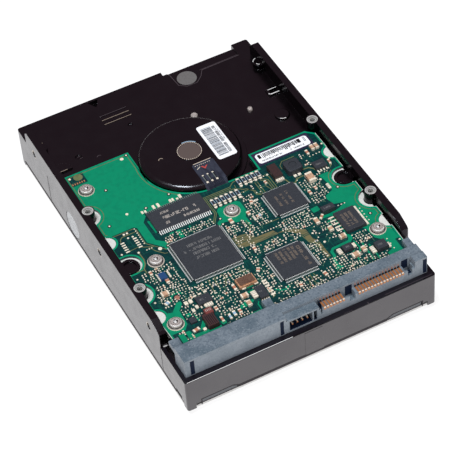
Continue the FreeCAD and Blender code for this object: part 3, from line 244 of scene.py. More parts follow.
def black_coat():
    """Semi-gloss black coat over a casting: it mirrors the pale floor on its sides."""
    coat = Finish("black_coat", (0.128, 0.122, 0.127, 1), 0.24, 1.0)
    coat.soft_edges(0.3)
    coat.speckle(9, (0.114, 0.108, 0.114, 1), 0.5)
    # Upright faces between the rails are painted nearly black: painted shade in place of their reflections.
    coat.tint(coat.calc("MULTIPLY", coat.upright(), coat.between_rails()), (0.028, 0.025, 0.028, 1))
    coat.uneven(5, 0.2, 0.28)
    coat.grain(0.8, 0.0006)
    return coat.material


def cover_metal():
    """Brushed sheet: bright at the flange edge, darker above the gasket's lower face where the tabs stand."""
    metal = Finish("cover_metal", (0.6, 0.59, 0.58, 1), 0.35, 1.0)
    metal.soft_edges(0.2)
    metal.speckle(0.5, (0.48, 0.47, 0.46, 1), 0.5, stretch=(1, 40, 1))
    metal.tint(metal.above(box_mm("cover_gasket")[0][2] + 0.1), (0.135, 0.14, 0.15, 1))
    metal.uneven(0.4, 0.25, 0.45, stretch=(1, 40, 1))
    return metal.material


def rubber():
    soft = Finish("rubber", (0.02, 0.02, 0.02, 1), 0.7)
    soft.speckle(0.6, (0.05, 0.05, 0.05, 1), 0.6)
    soft.grain(0.3, 0.03)
    return soft.material


def screw_steel():
    steel = Finish("screw_steel", linear(192, 184, 178), 0.34, 0.35)
    steel.soft_edges(0.12)
    steel.speckle(0.6, linear(158, 148, 142), 0.7)
    steel.uneven(0.5, 0.26, 0.42)
    steel.grain(0.3, 0.004)
    return steel.material


def white_foam():
    foam = Finish("white_foam", linear(208, 209, 204), 0.85)
    foam.speckle(0.5, linear(184, 186, 182), 0.6)
    foam.grain(0.35, 0.05)
    return foam.material


def solder_mask(name, base, other):
    mask = Finish(name, base, 0.32)
    mask.speckle(2.0, other, 0.7)
    mask.uneven(3.0, 0.26, 0.4)
    mask.grain(0.3, 0.01)
    mask.shine(0.12, 0.2)
    return mask.material


def board_green():
    """Dark mask with faint buried tracks running both ways."""
    mask = Finish("board_green", linear(0, 50, 50), 0.36)
    mask.speckle(3.0, linear(0, 36, 42), 0.8)
    for stretch in ((14, 1, 1), (1, 14, 1)):
        mask.speckle(0.45, linear(8, 78, 66), 0.5, low=0.57, high=0.61, stretch=stretch)
    mask.uneven(3.0, 0.28, 0.42)
    mask.grain(0.35, 0.012)
    mask.shine(0.12, 0.2)
    return mask.material


def chip_black():
    chip = Finish("chip_black", (0.026, 0.03, 0.036, 1), 0.5)
    chip.soft_edges(0.08)
    chip.speckle(0.25, (0.054, 0.058, 0.068, 1), 0.55)
    chip.uneven(1.2, 0.42, 0.6)
    chip.grain(0.12, 0.01)
    return chip.material


def tantalum_brown():
    case = Finish("tantalum_brown", linear(52, 40, 40), 0.45)
    case.tint(case.near(*middle(*islands("tantalum_capacitors")[0]), 6), linear(62, 42, 42))
    case.speckle(0.6, linear(80, 50, 44), 0.35)
    case.grain(0.25, 0.01)
    return case.material


def ceramic_beige():
    body = Finish("ceramic_beige", linear(196, 158, 128), 0.42)
    body.speckle(0.7, linear(160, 120, 92), 0.5)
    body.tint(body.near(*BLUE_CAPACITOR, 2.5), linear(34, 68, 110))
    body.speckle(0.5, linear(40, 60, 84), 0.35)
    body.grain(0.2, 0.01)
    return body.material


def copper_gold():
    metal = Finish("copper_gold", linear(200, 136, 88), 0.3, 0.6)
    metal.speckle(0.4, linear(160, 98, 60), 0.5)
    metal.uneven(0.5, 0.2, 0.4)
    return metal.material


def oscillator_brown():
    lid = Finish("oscillator_lid", linear(206, 158, 122), 0.35, 0.3)
    lid.tint(lid.above(box_mm("oscillator_can")[1][2] - 0.1), linear(114, 88, 74))
    lid.speckle(0.5, linear(84, 58, 50), 0.7)
    lid.grain(0.2, 0.012)
    return lid.material


def housing_plastic():
    """Blue-grey moulded plastic with cloudy mottling and a fine speckle."""
    plastic = Finish("housing_plastic", linear(104, 115, 124), 0.45)
    plastic.soft_edges(0.2)
    plastic.speckle(6.0, linear(78, 92, 102), 0.85)
    plastic.speckle(0.8, linear(62, 76, 88), 0.5, low=0.5, high=0.62)
    plastic.speckle(0.5, linear(146, 154, 160), 0.4, low=0.58, high=0.66)
    # Upright faces are painted lighter: painted light on the front face.
    plastic.tint(plastic.upright(), linear(176, 184, 192), 0.24)
    plastic.uneven(1.5, 0.35, 0.55)
    plastic.grain(0.45, 0.03)
    return plastic.material


def flex_film():
    film = Finish("flex_film", linear(52, 56, 68), 0.25)
    film.speckle(1.6, linear(32, 34, 44), 0.8, stretch=(1, 3, 1))
    film.tint(film.near(1.4, 2.4, 3.4), linear(30, 34, 44), 0.8)
    film.uneven(1.0, 0.15, 0.3)
    film.grain(0.6, 0.02)
    return film.material


def paper_white():
    paper = Finish("paper_white", linear(238, 240, 242), 0.6)
    paper.speckle(0.6, linear(222, 224, 228), 0.5)
    paper.grain(0.2, 0.006)
    return paper.material


def grey_disc():
    disc = Finish("grey_disc", linear(104, 102, 101), 0.55)
    disc.tint(disc.near(SPINDLE_X, SPINDLE_Y, 6), linear(86, 74, 70))
    disc.speckle(0.35, linear(80, 74, 72), 0.5)
    disc.grain(0.25, 0.02)
    return disc.material


def foil_disc():
    foil = Finish("foil_disc", linear(196, 199, 200), 0.5, 0.2)
    foil.speckle(0.8, linear(182, 184, 188), 0.5)
    foil.grain(0.4, 0.01)
    return foil.material


def bright_steel():
    steel = Finish("bright_steel", (0.74, 0.73, 0.72, 1), 0.22, 1.0)
    steel.speckle(0.6, (0.6, 0.59, 0.58, 1), 0.5)
    steel.uneven(0.5, 0.14, 0.3)
    return steel.material


def nickel_plate():
    nickel = Finish("nickel_plate", (0.66, 0.64, 0.6, 1), 0.3, 1.0)
    nickel.speckle(1.0, (0.55, 0.53, 0.5, 1), 0.5)
    nickel.uneven(0.8, 0.22, 0.38)
    return nickel.material


def bare_aluminium():
    metal = Finish("bare_aluminium", (0.76, 0.77, 0.79, 1), 0.3, 1.0)
    metal.speckle(0.3, (0.62, 0.63, 0.65, 1), 0.5, stretch=(20, 1, 1))
    metal.uneven(0.5, 0.22, 0.4, stretch=(20, 1, 1))
    return metal.material


def platter_mirror():
    disk = Finish("platter_mirror", (0.8, 0.8, 0.82, 1), 0.04, 1.0)
    disk.uneven(20, 0.03, 0.06)
    disk.speckle(15, (0.76, 0.76, 0.79, 1), 0.5)
    return disk.material


def filter_white():
    fleece = Finish("filter_white", (0.8, 0.8, 0.78, 1), 0.9)
    fleece.speckle(0.4, (0.65, 0.65, 0.62, 1), 0.6)
    fleece.grain(0.3, 0.08)
    return fleece.material


def solder_metal():
    """Tinned ends, pads and leads."""
    tin = Finish("solder_metal", linear(238, 228, 208), 0.36, 0.1)
    tin.speckle(0.5, linear(186, 176, 156), 0.6)
    tin.uneven(0.4, 0.2, 0.42)
    return tin.material


def plain_ink(name, colour, rough=0.6, shine=0.5):
    ink = Finish(name, colour, rough)
    ink.shader.inputs["Specular IOR Level"].default_value = shine
    ink.speckle(0.3, tuple(0.7 * value for value in colour[:3]) + (1,), 0.5)
    return ink.material


def track_bundle():
    """Olive ground with many thin dark gaps, as parallel tracks look."""
    tracks = Finish("track_bundle", linear(106, 100, 70), 0.4)
    tracks.speckle(0.5, linear(20, 66, 56), 0.8, low=0.5, high=0.56, stretch=(16, 1, 1))
    tracks.uneven(2.0, 0.3, 0.45)
    return tracks.material


def machined_metal():
    """Bare turned metal with fine marks."""
    metal = Finish("machined_metal", linear(206, 206, 202), 0.3, 0.3)
    metal.speckle(0.4, linear(168, 168, 164), 0.6, stretch=(8, 1, 1))
    metal.grain(0.3, 0.01)
    return metal.material


MATERIALS = {
    "black_coat": black_coat(), "cover_metal": cover_metal(), "gasket_rubber": rubber(),
    "screw_steel": screw_steel(), "white_sheet": white_foam(), "board_green": board_green(),
    "chip_black": chip_black(), "tantalum_brown": tantalum_brown(), "ceramic_beige": ceramic_beige(),
    "copper_gold": copper_gold(), "housing_blue_grey": housing_plastic(), "flex_film": flex_film(),
    "label_paper": paper_white(), "seal_grey": grey_disc(), "seal_silver": foil_disc(),
    "bright_steel": bright_steel(), "nickel_plate": nickel_plate(), "bare_aluminium": bare_aluminium(),
    "platter_mirror": platter_mirror(), "filter_white": filter_white(),
}
POUR_GREEN = solder_mask("pour_green", linear(0, 128, 92), linear(0, 118, 86))
EDGE_GREEN = solder_mask("edge_green", linear(0, 138, 100), linear(0, 120, 88))
OLIVE_TRACK = solder_mask("olive_track", linear(104, 110, 74), linear(84, 94, 64))
SOLDER = solder_metal()
CHIP = MATERIALS["chip_black"]
CHIP_MARK = plain_ink("chip_mark", linear(176, 168, 160))
TAN_MARK = plain_ink("tan_mark", linear(118, 106, 94))
BLACK_INK = plain_ink("black_ink", linear(22, 22, 26))
GREY_INK = plain_ink("grey_ink", linear(70, 76, 84))
PURPLE_INK = plain_ink("purple_ink", linear(42, 36, 62))
RED_INK = plain_ink("red_ink", linear(170, 70, 66))
BRICK_RED = plain_ink("brick_red", linear(112, 58, 54), 0.45)
DULL_COPPER = plain_ink("dull_copper", linear(156, 108, 92), 0.45)
TRACK_GREEN = plain_ink("track_green", linear(84, 124, 96), 0.4)
COPPER_PAD = plain_ink("copper_pad", linear(176, 120, 82), 0.35)
# Dark ribs on the tantalum block, and painted shade in the contacts' roots and the screw heads' recesses and
# creases.
DARK_TONE_AND_SHADE = plain_ink("dark_tone_and_shade", linear(20, 22, 26), 0.8)
BUNDLE = track_bundle()
CUT_EDGE = plain_ink("cut_edge", linear(196, 204, 196), 0.6)
COPPER_PART = plain_ink("copper_part", linear(178, 120, 96), 0.4)
# Pale body tone of small parts, and a painted crescent highlight on the spindle collar.
PALE_TONE_AND_GLINT = plain_ink("pale_tone_and_glint", linear(150, 176, 196), 0.4)
# Tin colour of the leads, and the painted highlights on lead flats, screw heads, the front rim and the deck
# bosses.
TIN_AND_GLINT = plain_ink("tin_and_glint", linear(222, 222, 220), 0.35)
LEAD_SHADE = plain_ink("lead_shade", linear(104, 112, 110), 0.4)
ARRAY_GREY = plain_ink("array_grey", linear(112, 122, 130), 0.4)
FAINT_MARK = plain_ink("faint_mark", linear(112, 112, 112))
PALE_INK = plain_ink("pale_ink", linear(140, 148, 156))
# Cream metal of the collar teeth, and painted highlights on contact tips, pin ends, the dome slot's edge and
# the side holes' rims.
CREAM_METAL_AND_GLINT = plain_ink("cream_metal_and_glint", linear(214, 200, 182), 0.3)
MACHINED = machined_metal()
# Painted highlights on the deck's bars and bosses and on the dome pit's rim.
EDGE_GLINT = plain_ink("edge_glint", linear(150, 136, 122), 0.4)
# Faint painted highlights along edges of the casting and its rim.
FAINT_GLINT = plain_ink("faint_glint", linear(74, 66, 70), 0.4)
# Painted shade over the rim's top faces beside the connector.
RIM_SHADE = plain_ink("rim_shade", linear(14, 10, 18), 0.4)
# Painted shadow in the joint between the case and the cover.
JOINT_SHADOW = plain_ink("joint_shadow", linear(36, 30, 36), 0.7)
NAVY_SHADE = plain_ink("navy_shade", linear(18, 28, 48), 0.6, 0.1)


# inks of the small parts: solder, four body tones, grey and track
PART_INKS = (SOLDER, MATERIALS["ceramic_beige"], CHIP, COPPER_PART, PALE_TONE_AND_GLINT, ARRAY_GREY, TRACK_GREEN)


def finish_cad_nodes():
    slots = {part["node"]: part["material_slot"] for part in frame["record"]["subparts"]}
    for name, node in frame["nodes"].items():
        material = MATERIALS[slots[name]]
        if name == "oscillator_can":
            material = oscillator_brown()
        node.data.materials.clear()
        node.data.materials.append(material)


# ---------------------------------------------------------------- mesh building

class Piece:
    """Collects solids in millimetres, each with one of the piece's materials, into one object."""

    def __init__(self, name, *materials):
        self.name = name
        self.materials = materials
        self.points = []
        self.faces = []
        self.inks = []

    def prism(self, outline, low, high, ink=0):
        """A closed upright prism over an outline given anticlockwise."""
        first = len(self.points)
        count = len(outline)
        self.points += [(x, y, low) for x, y in outline] + [(x, y, high) for x, y in outline]
        return self.closed(first, count, ink)

    def closed(self, first, count, ink):
        """Faces of a prism whose two rings of points start at first."""
        self.faces.append(list(range(first + count - 1, first - 1, -1)))
        self.faces.append(list(range(first + count, first + 2 * count)))
        for i in range(count):
            after = (i + 1) % count
            self.faces.append([first + i, first + after, first + count + after, first + count + i])
        self.inks += [ink] * (count + 2)
        return self

    def box(self, x, y, wide, long, low, high, ink=0, turn=0.0):
        c, s = math.cos(turn), math.sin(turn)
        corners = [(-wide / 2, -long / 2), (wide / 2, -long / 2), (wide / 2, long / 2), (-wide / 2, long / 2)]
        return self.prism([(x + c * u - s * v, y + s * u + c * v) for u, v in corners], low, high, ink)

    def on_board(self, x, y, wide, long, height, ink=0, turn=0.0):
        return self.box(x, y, wide, long, BOARD_TOP, BOARD_TOP + height, ink, turn)

    def disc(self, x, y, radius, low, high, ink=0, sides=10):
        steps = [2 * math.pi * i / sides for i in range(sides)]
        outline = [(x + radius * math.cos(a), y + radius * math.sin(a)) for a in steps]
        return self.prism(outline, low, high, ink)

    def ring(self, x, y, outer, inner, low, high, ink=0, sides=32):
        """A flat washer."""
        first = len(self.points)
        for radius, height in ((inner, low), (outer, low), (outer, high), (inner, high)):
            for i in range(sides):
                a = 2 * math.pi * i / sides
                self.points.append((x + radius * math.cos(a), y + radius * math.sin(a), height))
        for level in range(4):
            for i in range(sides):
                j = (i + 1) % sides
                here, there = first + level * sides, first + (level + 1) % 4 * sides
                self.faces.append([here + j, here + i, there + i, there + j])
                self.inks.append(ink)
        return self

    def ribbon(self, path, width, low, high, ink=0):
        """A flat track along a path, with mitred corners."""
        left, right = [], []
        for i, (x, y) in enumerate(path):
            before = path[max(i - 1, 0)]
            after = path[min(i + 1, len(path) - 1)]
            along = Vector((after[0] - before[0], after[1] - before[1])).normalized()
            leg = Vector((x - before[0], y - before[1])).normalized() if i else along
            half = width / 2 / max(abs(along.dot(leg)), 0.5)
            left.append((x - along.y * half, y + along.x * half))
            right.append((x + along.y * half, y - along.x * half))
        for i in range(len(path) - 1):
            self.prism([right[i], right[i + 1], left[i + 1], left[i]], low, high, ink)
        return self

    def swept(self, profile, start, along, ink=0):
        """A profile of 3-D points swept along a vector, closed at both ends."""
        first = len(self.points)
        count = len(profile)
        self.points += [tuple(Vector(start) + Vector(point)) for point in profile]
        self.points += [tuple(Vector(start) + Vector(point) + Vector(along)) for point in profile]
        return self.closed(first, count, ink)

    def turned_up(self, start):
        """Lay the points added since start on their side: height becomes reach along x."""
        for i in range(start, len(self.points)):
            x, y, z = self.points[i]
            self.points[i] = (z, x, y)

    def make(self, body=CASE, bevel=0.0):
        mesh = bpy.data.meshes.new(self.name)
        mesh.from_pydata([Vector(point) * MM for point in self.points], [], self.faces)
        for material in self.materials:
            mesh.materials.append(material)
        mesh.polygons.foreach_set("material_index", self.inks)
        work = bmesh.new()
        work.from_mesh(mesh)
        bmesh.ops.recalc_face_normals(work, faces=work.faces)
        work.to_mesh(mesh)
        work.free()
        made = bpy.data.objects.new(self.name, mesh)
        bpy.context.scene.collection.objects.link(made)
        if bevel:
            edge = made.modifiers.new("edge", "BEVEL")
            edge.width = bevel * MM
            edge.segments = 2
            edge.limit_method = "ANGLE"
        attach(made, body)
        return made


def arc(x, y, radius, start, end, steps=10):
    """Points on an arc, angles in degrees."""
    angles = [math.radians(start + (end - start) * i / steps) for i in range(steps + 1)]
    return [(x + radius * math.cos(a), y + radius * math.sin(a)) for a in angles]


# ---------------------------------------------------------------- outlines taken from the CAD

def top_outline(node, height):
    """Longest outline, anticlockwise and in millimetres, of a node's flat faces at a height."""
    mesh = frame["nodes"][node].data
    edges = set()
    for face in mesh.polygons:
        corners = [mesh.vertices[i].co / MM for i in face.vertices]
        if all(abs(corner.z - height) < 0.01 for corner in corners):
            ring = [(round(corner.x, 3), round(corner.y, 3)) for corner in corners]
            for edge in zip(ring, ring[1:] + ring[:1]):
                if edge[::-1] in edges:
                    edges.discard(edge[::-1])
                else:
                    edges.add(edge)
    ahead = dict(edges)
    loops = []
    while ahead:
        loop = [next(iter(sorted(ahead)))]
        while loop[-1] in ahead:
            loop.append(ahead.pop(loop[-1]))
        loops.append(loop[:-1])
    longest = max(loops, key=lambda loop: sum(math.dist(a, b) for a, b in zip(loop, loop[1:])))
    return [point for i, point in enumerate(longest) if math.dist(point, longest[i - 1]) > 0.02]


def inset(loop, depth):
    """An anticlockwise loop moved inwards."""
    moved = []
    for i, (x, y) in enumerate(loop):
        before, after = loop[i - 1], loop[(i + 1) % len(loop)]
        leg = Vector((x - before[0], y - before[1])).normalized()
        on = Vector((after[0] - x, after[1] - y)).normalized()
        inward = Vector((-leg.y - on.y, leg.x + on.x)).normalized()
        step = depth / max(inward.dot(Vector((-on.y, on.x))), 0.5)
        moved.append((x + inward.x * step, y + inward.y * step))
    return moved


def edge_band(piece, loop, outer, inner, low, high, keep, ink=0):
    """A band between two insets of a loop, where keep says yes."""
    out, inn = inset(loop, outer), inset(loop, inner)
    for i in range(len(loop)):
        j = (i + 1) % len(loop)
        if keep(*out[i]) and keep(*out[j]):
            piece.prism([out[i], out[j], inn[j], inn[i]], low, high, ink)


def inside(x, y, outline):
    """Whether a point lies inside an outline."""
    hit = False
    for (ax, ay), (bx, by) in zip(outline, outline[1:] + outline[:1]):
        if (ay > y) != (by > y) and x < (bx - ax) * (y - ay) / (by - ay) + ax:
            hit = not hit
    return hit


# ---------------------------------------------------------------- copper under the solder mask

POUR_A = ([(-20.6, 18.9), (-20.6, 35.8), (-46.7, 35.8)]
          + arc(-48.1, 12.5, 5.7, 76, -76, 12)
          + arc(-47.3, -3.4, 3.85, 81, 44, 4)
          + [(-35.3, -0.7), (-34.3, -1.6), (-34.3, -10.2), (-30.0, -15.3)]
          + arc(-28.6, -16.1, 1.35, 160, 400, 8)
          + [(-28.4, -13.0), (-31.0, -10.6), (-31.0, -0.4), (-28.9, 2.2), (-28.9, 3.7), (-14.5, 3.7)]
          + arc(0, 23, 21.0, 233.0, 191.2, 10))
POUR_B = [(-5.5, -13.2), (-4.9, -9.2), (-3.8, -8.0), (3.6, -8.0), (4.8, -9.2), (4.8, -14.6), (3.1, -17.0),
          (3.3, -21.4), (2.2, -22.0), (1.5, -18.3), (-1.3, -18.0), (-2.6, -16.3), (-5.0, -15.6),
          (-6.2, -17.0), (-7.9, -15.9), (-7.5, -14.7)]
POUR_C = ([(36.5, -12.2), (40.6, -12.2)]
          + arc(44.7, -17.2, 5.2, 132, 285, 14)
          + [(46.3, -21.8)]
          + arc(48.0, -32.22, 5.6, 107, 253, 14)
          + arc(47.3, -45.0, 3.8, 105, 255, 10)
          + [(46.3, -55.0), (44.6, -55.0), (44.6, -61.4), (39.0, -61.4), (39.0, -59.6), (41.2, -58.6),
             (41.2, -53.6), (38.6, -50.6), (38.2, -45.4), (36.8, -43.6), (30.6, -43.4), (30.6, -33.0),
             (25.6, -32.4), (26.2, -31.2), (30.4, -31.6), (34.6, -31.0), (38.6, -29.4), (34.3, -28.2),
             (33.2, -24.6), (33.8, -22.9), (37.2, -21.5), (37.6, -18.8), (37.3, -15.0)])
POUR_E = ([(-46.8, -55.0), (-46.8, -49.0)]
          + arc(-47.3, -45.0, 3.9, 278, 360, 7)
          + [(-41.4, -45.6), (-38.2, -42.2), (-36.6, -42.2), (-36.6, -43.6), (-38.9, -46.0), (-39.2, -53.0),
             (-41.0, -55.2)])
SMALL_POURS = [
    [(-44.4, -56.0), (-42.4, -56.0), (-42.4, -60.4), (-44.4, -60.4)],
    [(-41.6, -56.2), (-40.0, -56.2), (-39.6, -58.8), (-29.0, -59.4), (-29.0, -60.4), (-41.6, -60.4)],
    [(-36.4, -57.6), (-34.0, -54.4), (-33.2, -55.2), (-34.6, -57.8), (-36.2, -58.4)],
    [(-20.0, -56.6), (-19.0, -55.0), (-16.8, -54.2), (-13.8, -54.4), (-13.6, -55.3), (-15.4, -56.3)],
    [(-19.6, -61.5), (-17.6, -60.1), (-13.8, -60.1), (-13.8, -61.5)],
    [(-28.6, -58.0), (-26.6, -58.2), (-26.8, -59.6), (-28.4, -59.8)],
    [(-13.2, -48.0), (-10.6, -48.0), (-10.6, -48.9), (-13.2, -48.9)],
    [(-13.9, -50.4), (-10.8, -50.2), (-10.6, -51.1), (-13.6, -51.4)],
    [(-22.5, -10.3), (-21.0, -10.3), (-21.0, -14.6), (-22.5, -14.6)],
    [(-25.2, -10.2), (-23.4, -10.2), (-23.8, -11.0), (-25.0, -11.0)],
    [(-17.4, -10.5), (-16.8, -10.5), (-16.9, -12.0), (-17.4, -12.0)],
    [(-29.7, -0.6), (-28.8, -0.6), (-28.8, -7.4), (-29.4, -7.6)],
    [(25.4, -26.0), (28.4, -25.8), (28.6, -28.2), (25.6, -28.4)],
    [(28.2, -42.8), (30.4, -43.4), (32.0, -45.4), (31.6, -46.8), (30.0, -48.2), (29.0, -47.8), (30.4, -45.6)],
    [(-37.8, -48.8), (-36.2, -48.6), (-36.0, -50.2), (-37.8, -50.4)],
    [(18.8, -56.6), (20.4, -55.8), (22.0, -56.8), (21.6, -57.4), (19.0, -57.4)],
]
GREEN_TRACKS = [
    (1.1, [(29.6, -47.4), (22.8, -47.7), (21.7, -48.8), (21.6, -51.0), (20.4, -53.2), (20.3, -56.4)]),
    (0.6, [(-40.6, -40.9), (-39.2, -40.4), (-38.4, -38.6), (-37.2, -38.0), (-35.2, -38.1), (-34.2, -39.4)]),
    (0.5, [(-12.4, -56.4), (-13.2, -57.6), (-13.3, -60.4)]),
    (0.6, [(31.2, -48.0), (31.6, -52.0), (30.6, -54.0)]),
    (0.6, [(27.6, -35.2), (29.8, -34.8)]), (0.6, [(25.6, -38.4), (27.0, -37.0), (29.8, -36.8)]),
    (0.6, [(33.4, -50.0), (33.2, -55.0), (32.8, -60.0)]), (0.5, [(28.6, -52.4), (28.4, -57.6)]),
    (0.5, [(2.6, -56.0), (5.4, -56.2)]), (0.6, [(-4.8, -54.2), (-2.8, -56.0), (-1.0, -56.4), (0.8, -55.0)]),
    (0.5, [(35.2, -52.4), (35.2, -60.6)]), (0.6, [(-35.0, -50.2), (-34.9, -54.0)]),
]
OLIVE_TRACKS = [
    (0.32, [(-42.7, -5.2), (-42.2, -3.9), (-41.2, -3.1), (-35.6, -3.1)]),
    (0.28, [(-44.2, -1.3), (-35.9, -1.3), (-35.0, -2.2), (-35.0, -10.4), (-29.6, -16.9)]),
    (0.45, [(-39.2, -13.2), (-39.0, -17.2), (-39.6, -19.6), (-41.0, -21.6), (-41.0, -24.0)]),
    (0.3, [(-34.8, -12.6), (-33.4, -15.6), (-31.0, -18.4), (-29.9, -18.7)]),
    (0.3, [(-42.0, -10.9), (-38.2, -10.6), (-36.0, -11.8), (-33.0, -13.2)]),
    (0.28, [(-5.5, -0.2), (-5.5, -10.0), (-8.4, -14.4)]),
    (0.28, [(-6.1, -0.2), (-6.1, -9.8), (-8.8, -13.9)]),
    (0.3, [(-5.2, -0.5), (4.6, -0.5), (5.2, -0.4), (6.8, 1.0), (7.4, 1.3), (18.0, 1.4)]),
    (0.3, [(-5.2, -1.2), (5.2, -1.2)]), (0.3, [(-5.2, -2.0), (6.8, -2.0), (7.0, -0.4)]),
    (0.3, [(6.6, -2.4), (9.0, -4.2), (10.0, -4.4), (11.8, -6.8), (11.9, -9.0), (13.4, -10.2)]),
    (0.3, [(6.2, -5.2), (10.6, -5.2), (12.4, -7.0), (12.4, -8.8), (13.9, -9.9)]),
    (0.3, [(14.2, -3.2), (14.3, -9.8)]), (0.3, [(15.2, -3.2), (15.3, -9.8)]),
    (0.3, [(17.4, -2.6), (19.3, -4.4), (19.4, -9.6)]), (0.3, [(16.6, -3.0), (18.5, -4.8), (18.6, -9.6)]),
    (0.3, [(19.2, -1.4), (20.3, -3.0), (20.3, -9.6)]), (0.3, [(17.0, -6.6), (18.0, -9.6)]),
    (0.3, [(26.4, -2.2), (26.6, -0.2), (28.2, 1.5), (33.6, 1.6)]),
    (0.5, [(31.6, -7.0), (33.6, -6.4), (35.4, -6.6), (36.8, -8.0), (37.2, -9.4)]),
    (0.5, [(24.8, -7.6), (25.4, -9.8), (26.4, -10.9), (27.6, -10.9), (28.8, -9.5), (31.8, -9.3)]),
    (0.35, [(43.8, -6.0), (43.6, -9.6), (42.6, -10.4)]), (0.3, [(2.2, -18.8), (2.2, -22.4), (1.2, -23.6)]),
    (0.3, [(7.5, -24.2), (13.2, -24.3)]), (0.3, [(-44.0, -21.6), (-41.4, -22.0)]),
    (0.3, [(-20.6, -38.0), (-21.4, -40.0), (-21.4, -44.0)]), (0.3, [(-23.4, -38.0), (-24.0, -44.6)]),
    (0.3, [(-18.0, -38.0), (-17.4, -40.2), (-19.0, -44.0)]),
    (0.3, [(-26.0, -38.2), (-27.4, -40.0), (-27.4, -43.0)]),
    (0.3, [(-11.6, -38.2), (-11.0, -41.0), (-8.4, -41.4)]),
    (0.3, [(7.8, -54.6), (8.0, -57.0), (7.0, -59.4)]), (0.3, [(10.8, -54.6), (11.0, -57.0), (12.4, -60.0)]),
    (0.3, [(9.4, -54.6), (9.2, -57.6), (9.8, -60.2)]),
    (0.35, [(-7.2, -57.4), (-6.2, -57.0), (-5.8, -55.8)]),
    (0.3, [(16.2, -36.0), (17.0, -40.4), (19.0, -41.8), (19.4, -50.4)]),
]
BUNDLE_A = [(-6.6, -24.2), (-1.2, -24.6), (1.6, -28.3), (8.4, -28.5), (9.4, -31.0), (-2.4, -31.1),
            (-6.4, -30.0)]
BUNDLE_B = [(9.0, -30.4), (13.6, -30.6), (19.0, -34.2), (19.0, -39.6), (20.4, -41.4), (20.4, -50.4),
            (18.8, -50.4), (18.8, -42.4), (16.8, -40.4), (16.8, -36.0), (12.6, -31.6)]
POURS = [POUR_A, POUR_B, POUR_C, POUR_E] + SMALL_POURS


def board_edges(loop):
    """Bare cut edges of the circuit board."""
    trim = Piece("board_edge_trim", EDGE_GREEN, CUT_EDGE)
    edge_band(trim, loop, 0.03, 0.75, BOARD_TOP - 0.01, BOARD_TOP + 0.02, lambda x, y: True)
    edge_band(trim, loop, -0.02, 0.16, BOARD_TOP - 0.3, BOARD_TOP + 0.035, lambda x, y: abs(x) > 46.2, 1)
    trim.make()


def copper_pours():
    """Copper areas that show through the solder mask."""
    pours = Piece("copper_pours", POUR_GREEN)
    for outline in POURS:
        pours.prism(outline, BOARD_TOP - 0.01, BOARD_TOP + 0.03)
    for width, path in GREEN_TRACKS:
        pours.ribbon(path, width, BOARD_TOP - 0.01, BOARD_TOP + 0.032)
    pours.make()


def dark_window():
    """Dark patch in the far left corner of the board, with a round olive pad and a row of copper ones."""
    window = Piece("dark_window", MATERIALS["board_green"], OLIVE_TRACK, COPPER_PAD)
    window.on_board(-43.0, 32.8, 6.5, 5.6, 0.04)
    window.disc(-42.2, 33.9, 1.8, BOARD_TOP, BOARD_TOP + 0.055, 1, 20)
    for i in range(6):
        window.on_board(-45.6 + 0.95 * i, 31.0, 0.42, 0.9, 0.06, 2)
    window.make()


def olive_tracks(loop):
    """Buried tracks, among them one that follows the board's edge."""
    tracks = Piece("olive_tracks", OLIVE_TRACK)
    edge_band(tracks, loop, 1.05, 1.3, BOARD_TOP, BOARD_TOP + 0.045,
              lambda x, y: (x < -12.5 and y > 0.5) or (x > 38.5 and -55 < y < -12))
    for width, path in OLIVE_TRACKS:
        tracks.ribbon(path, width, BOARD_TOP - 0.01, BOARD_TOP + 0.036)
    tracks.make()
    bundles = Piece("track_bundles", BUNDLE)
    for outline in (BUNDLE_A, BUNDLE_B):
        bundles.prism(outline, BOARD_TOP - 0.01, BOARD_TOP + 0.03)
    bundles.make()


def copper_under_mask():
    loop = top_outline("circuit_board", BOARD_TOP)
    board_edges(loop)
    copper_pours()
    dark_window()
    olive_tracks(loop)


# ---------------------------------------------------------------- leads, pads and small parts

LEADED_CHIPS = [
    # node, sides, leads a side, pitch, width, reach of the foot from the body
    ("controller_chip", "WESN", 36, 0.54, 0.22, 1.25),
    ("interface_chip", "WESN", 26, 0.52, 0.22, 1.2),
    ("motor_driver_chip", "WESN", 22, 0.54, 0.22, 1.1),
    ("memory_chip", "SN", 27, 0.8, 0.34, 1.6),
]
OUTWARD = {"W": (-1, 0), "E": (1, 0), "S": (0, -1), "N": (0, 1)}


def gull_wing(piece, x, y, out, width, reach, shoulder, ink=0, flats=0):
    """A bent lead from a chip side out and down to the board; its two flats may have another ink."""
    side = [(-0.2, shoulder), (0.35, shoulder), (0.6, 0.2), (reach, 0.2), (reach, 0.05), (0.48, 0.05),
            (0.25, shoulder - 0.16), (-0.2, shoulder - 0.16)]
    profile = [(out[0] * u, out[1] * u, z) for u, z in side]
    start = (x + out[1] * width / 2, y - out[0] * width / 2, BOARD_TOP)
    piece.swept(profile, start, (-out[1] * width, out[0] * width, 0), ink)
    for near, far, level in ((0.0, 0.33, BOARD_TOP + shoulder), (reach - 0.4, reach, BOARD_TOP + 0.2)):
        away = (near + far) / 2
        size = [abs(out[axis]) * (far - near) + abs(out[1 - axis]) * width * 1.25 for axis in range(2)]
        piece.box(x + out[0] * away, y + out[1] * away, *size, level, level + 0.02, flats)


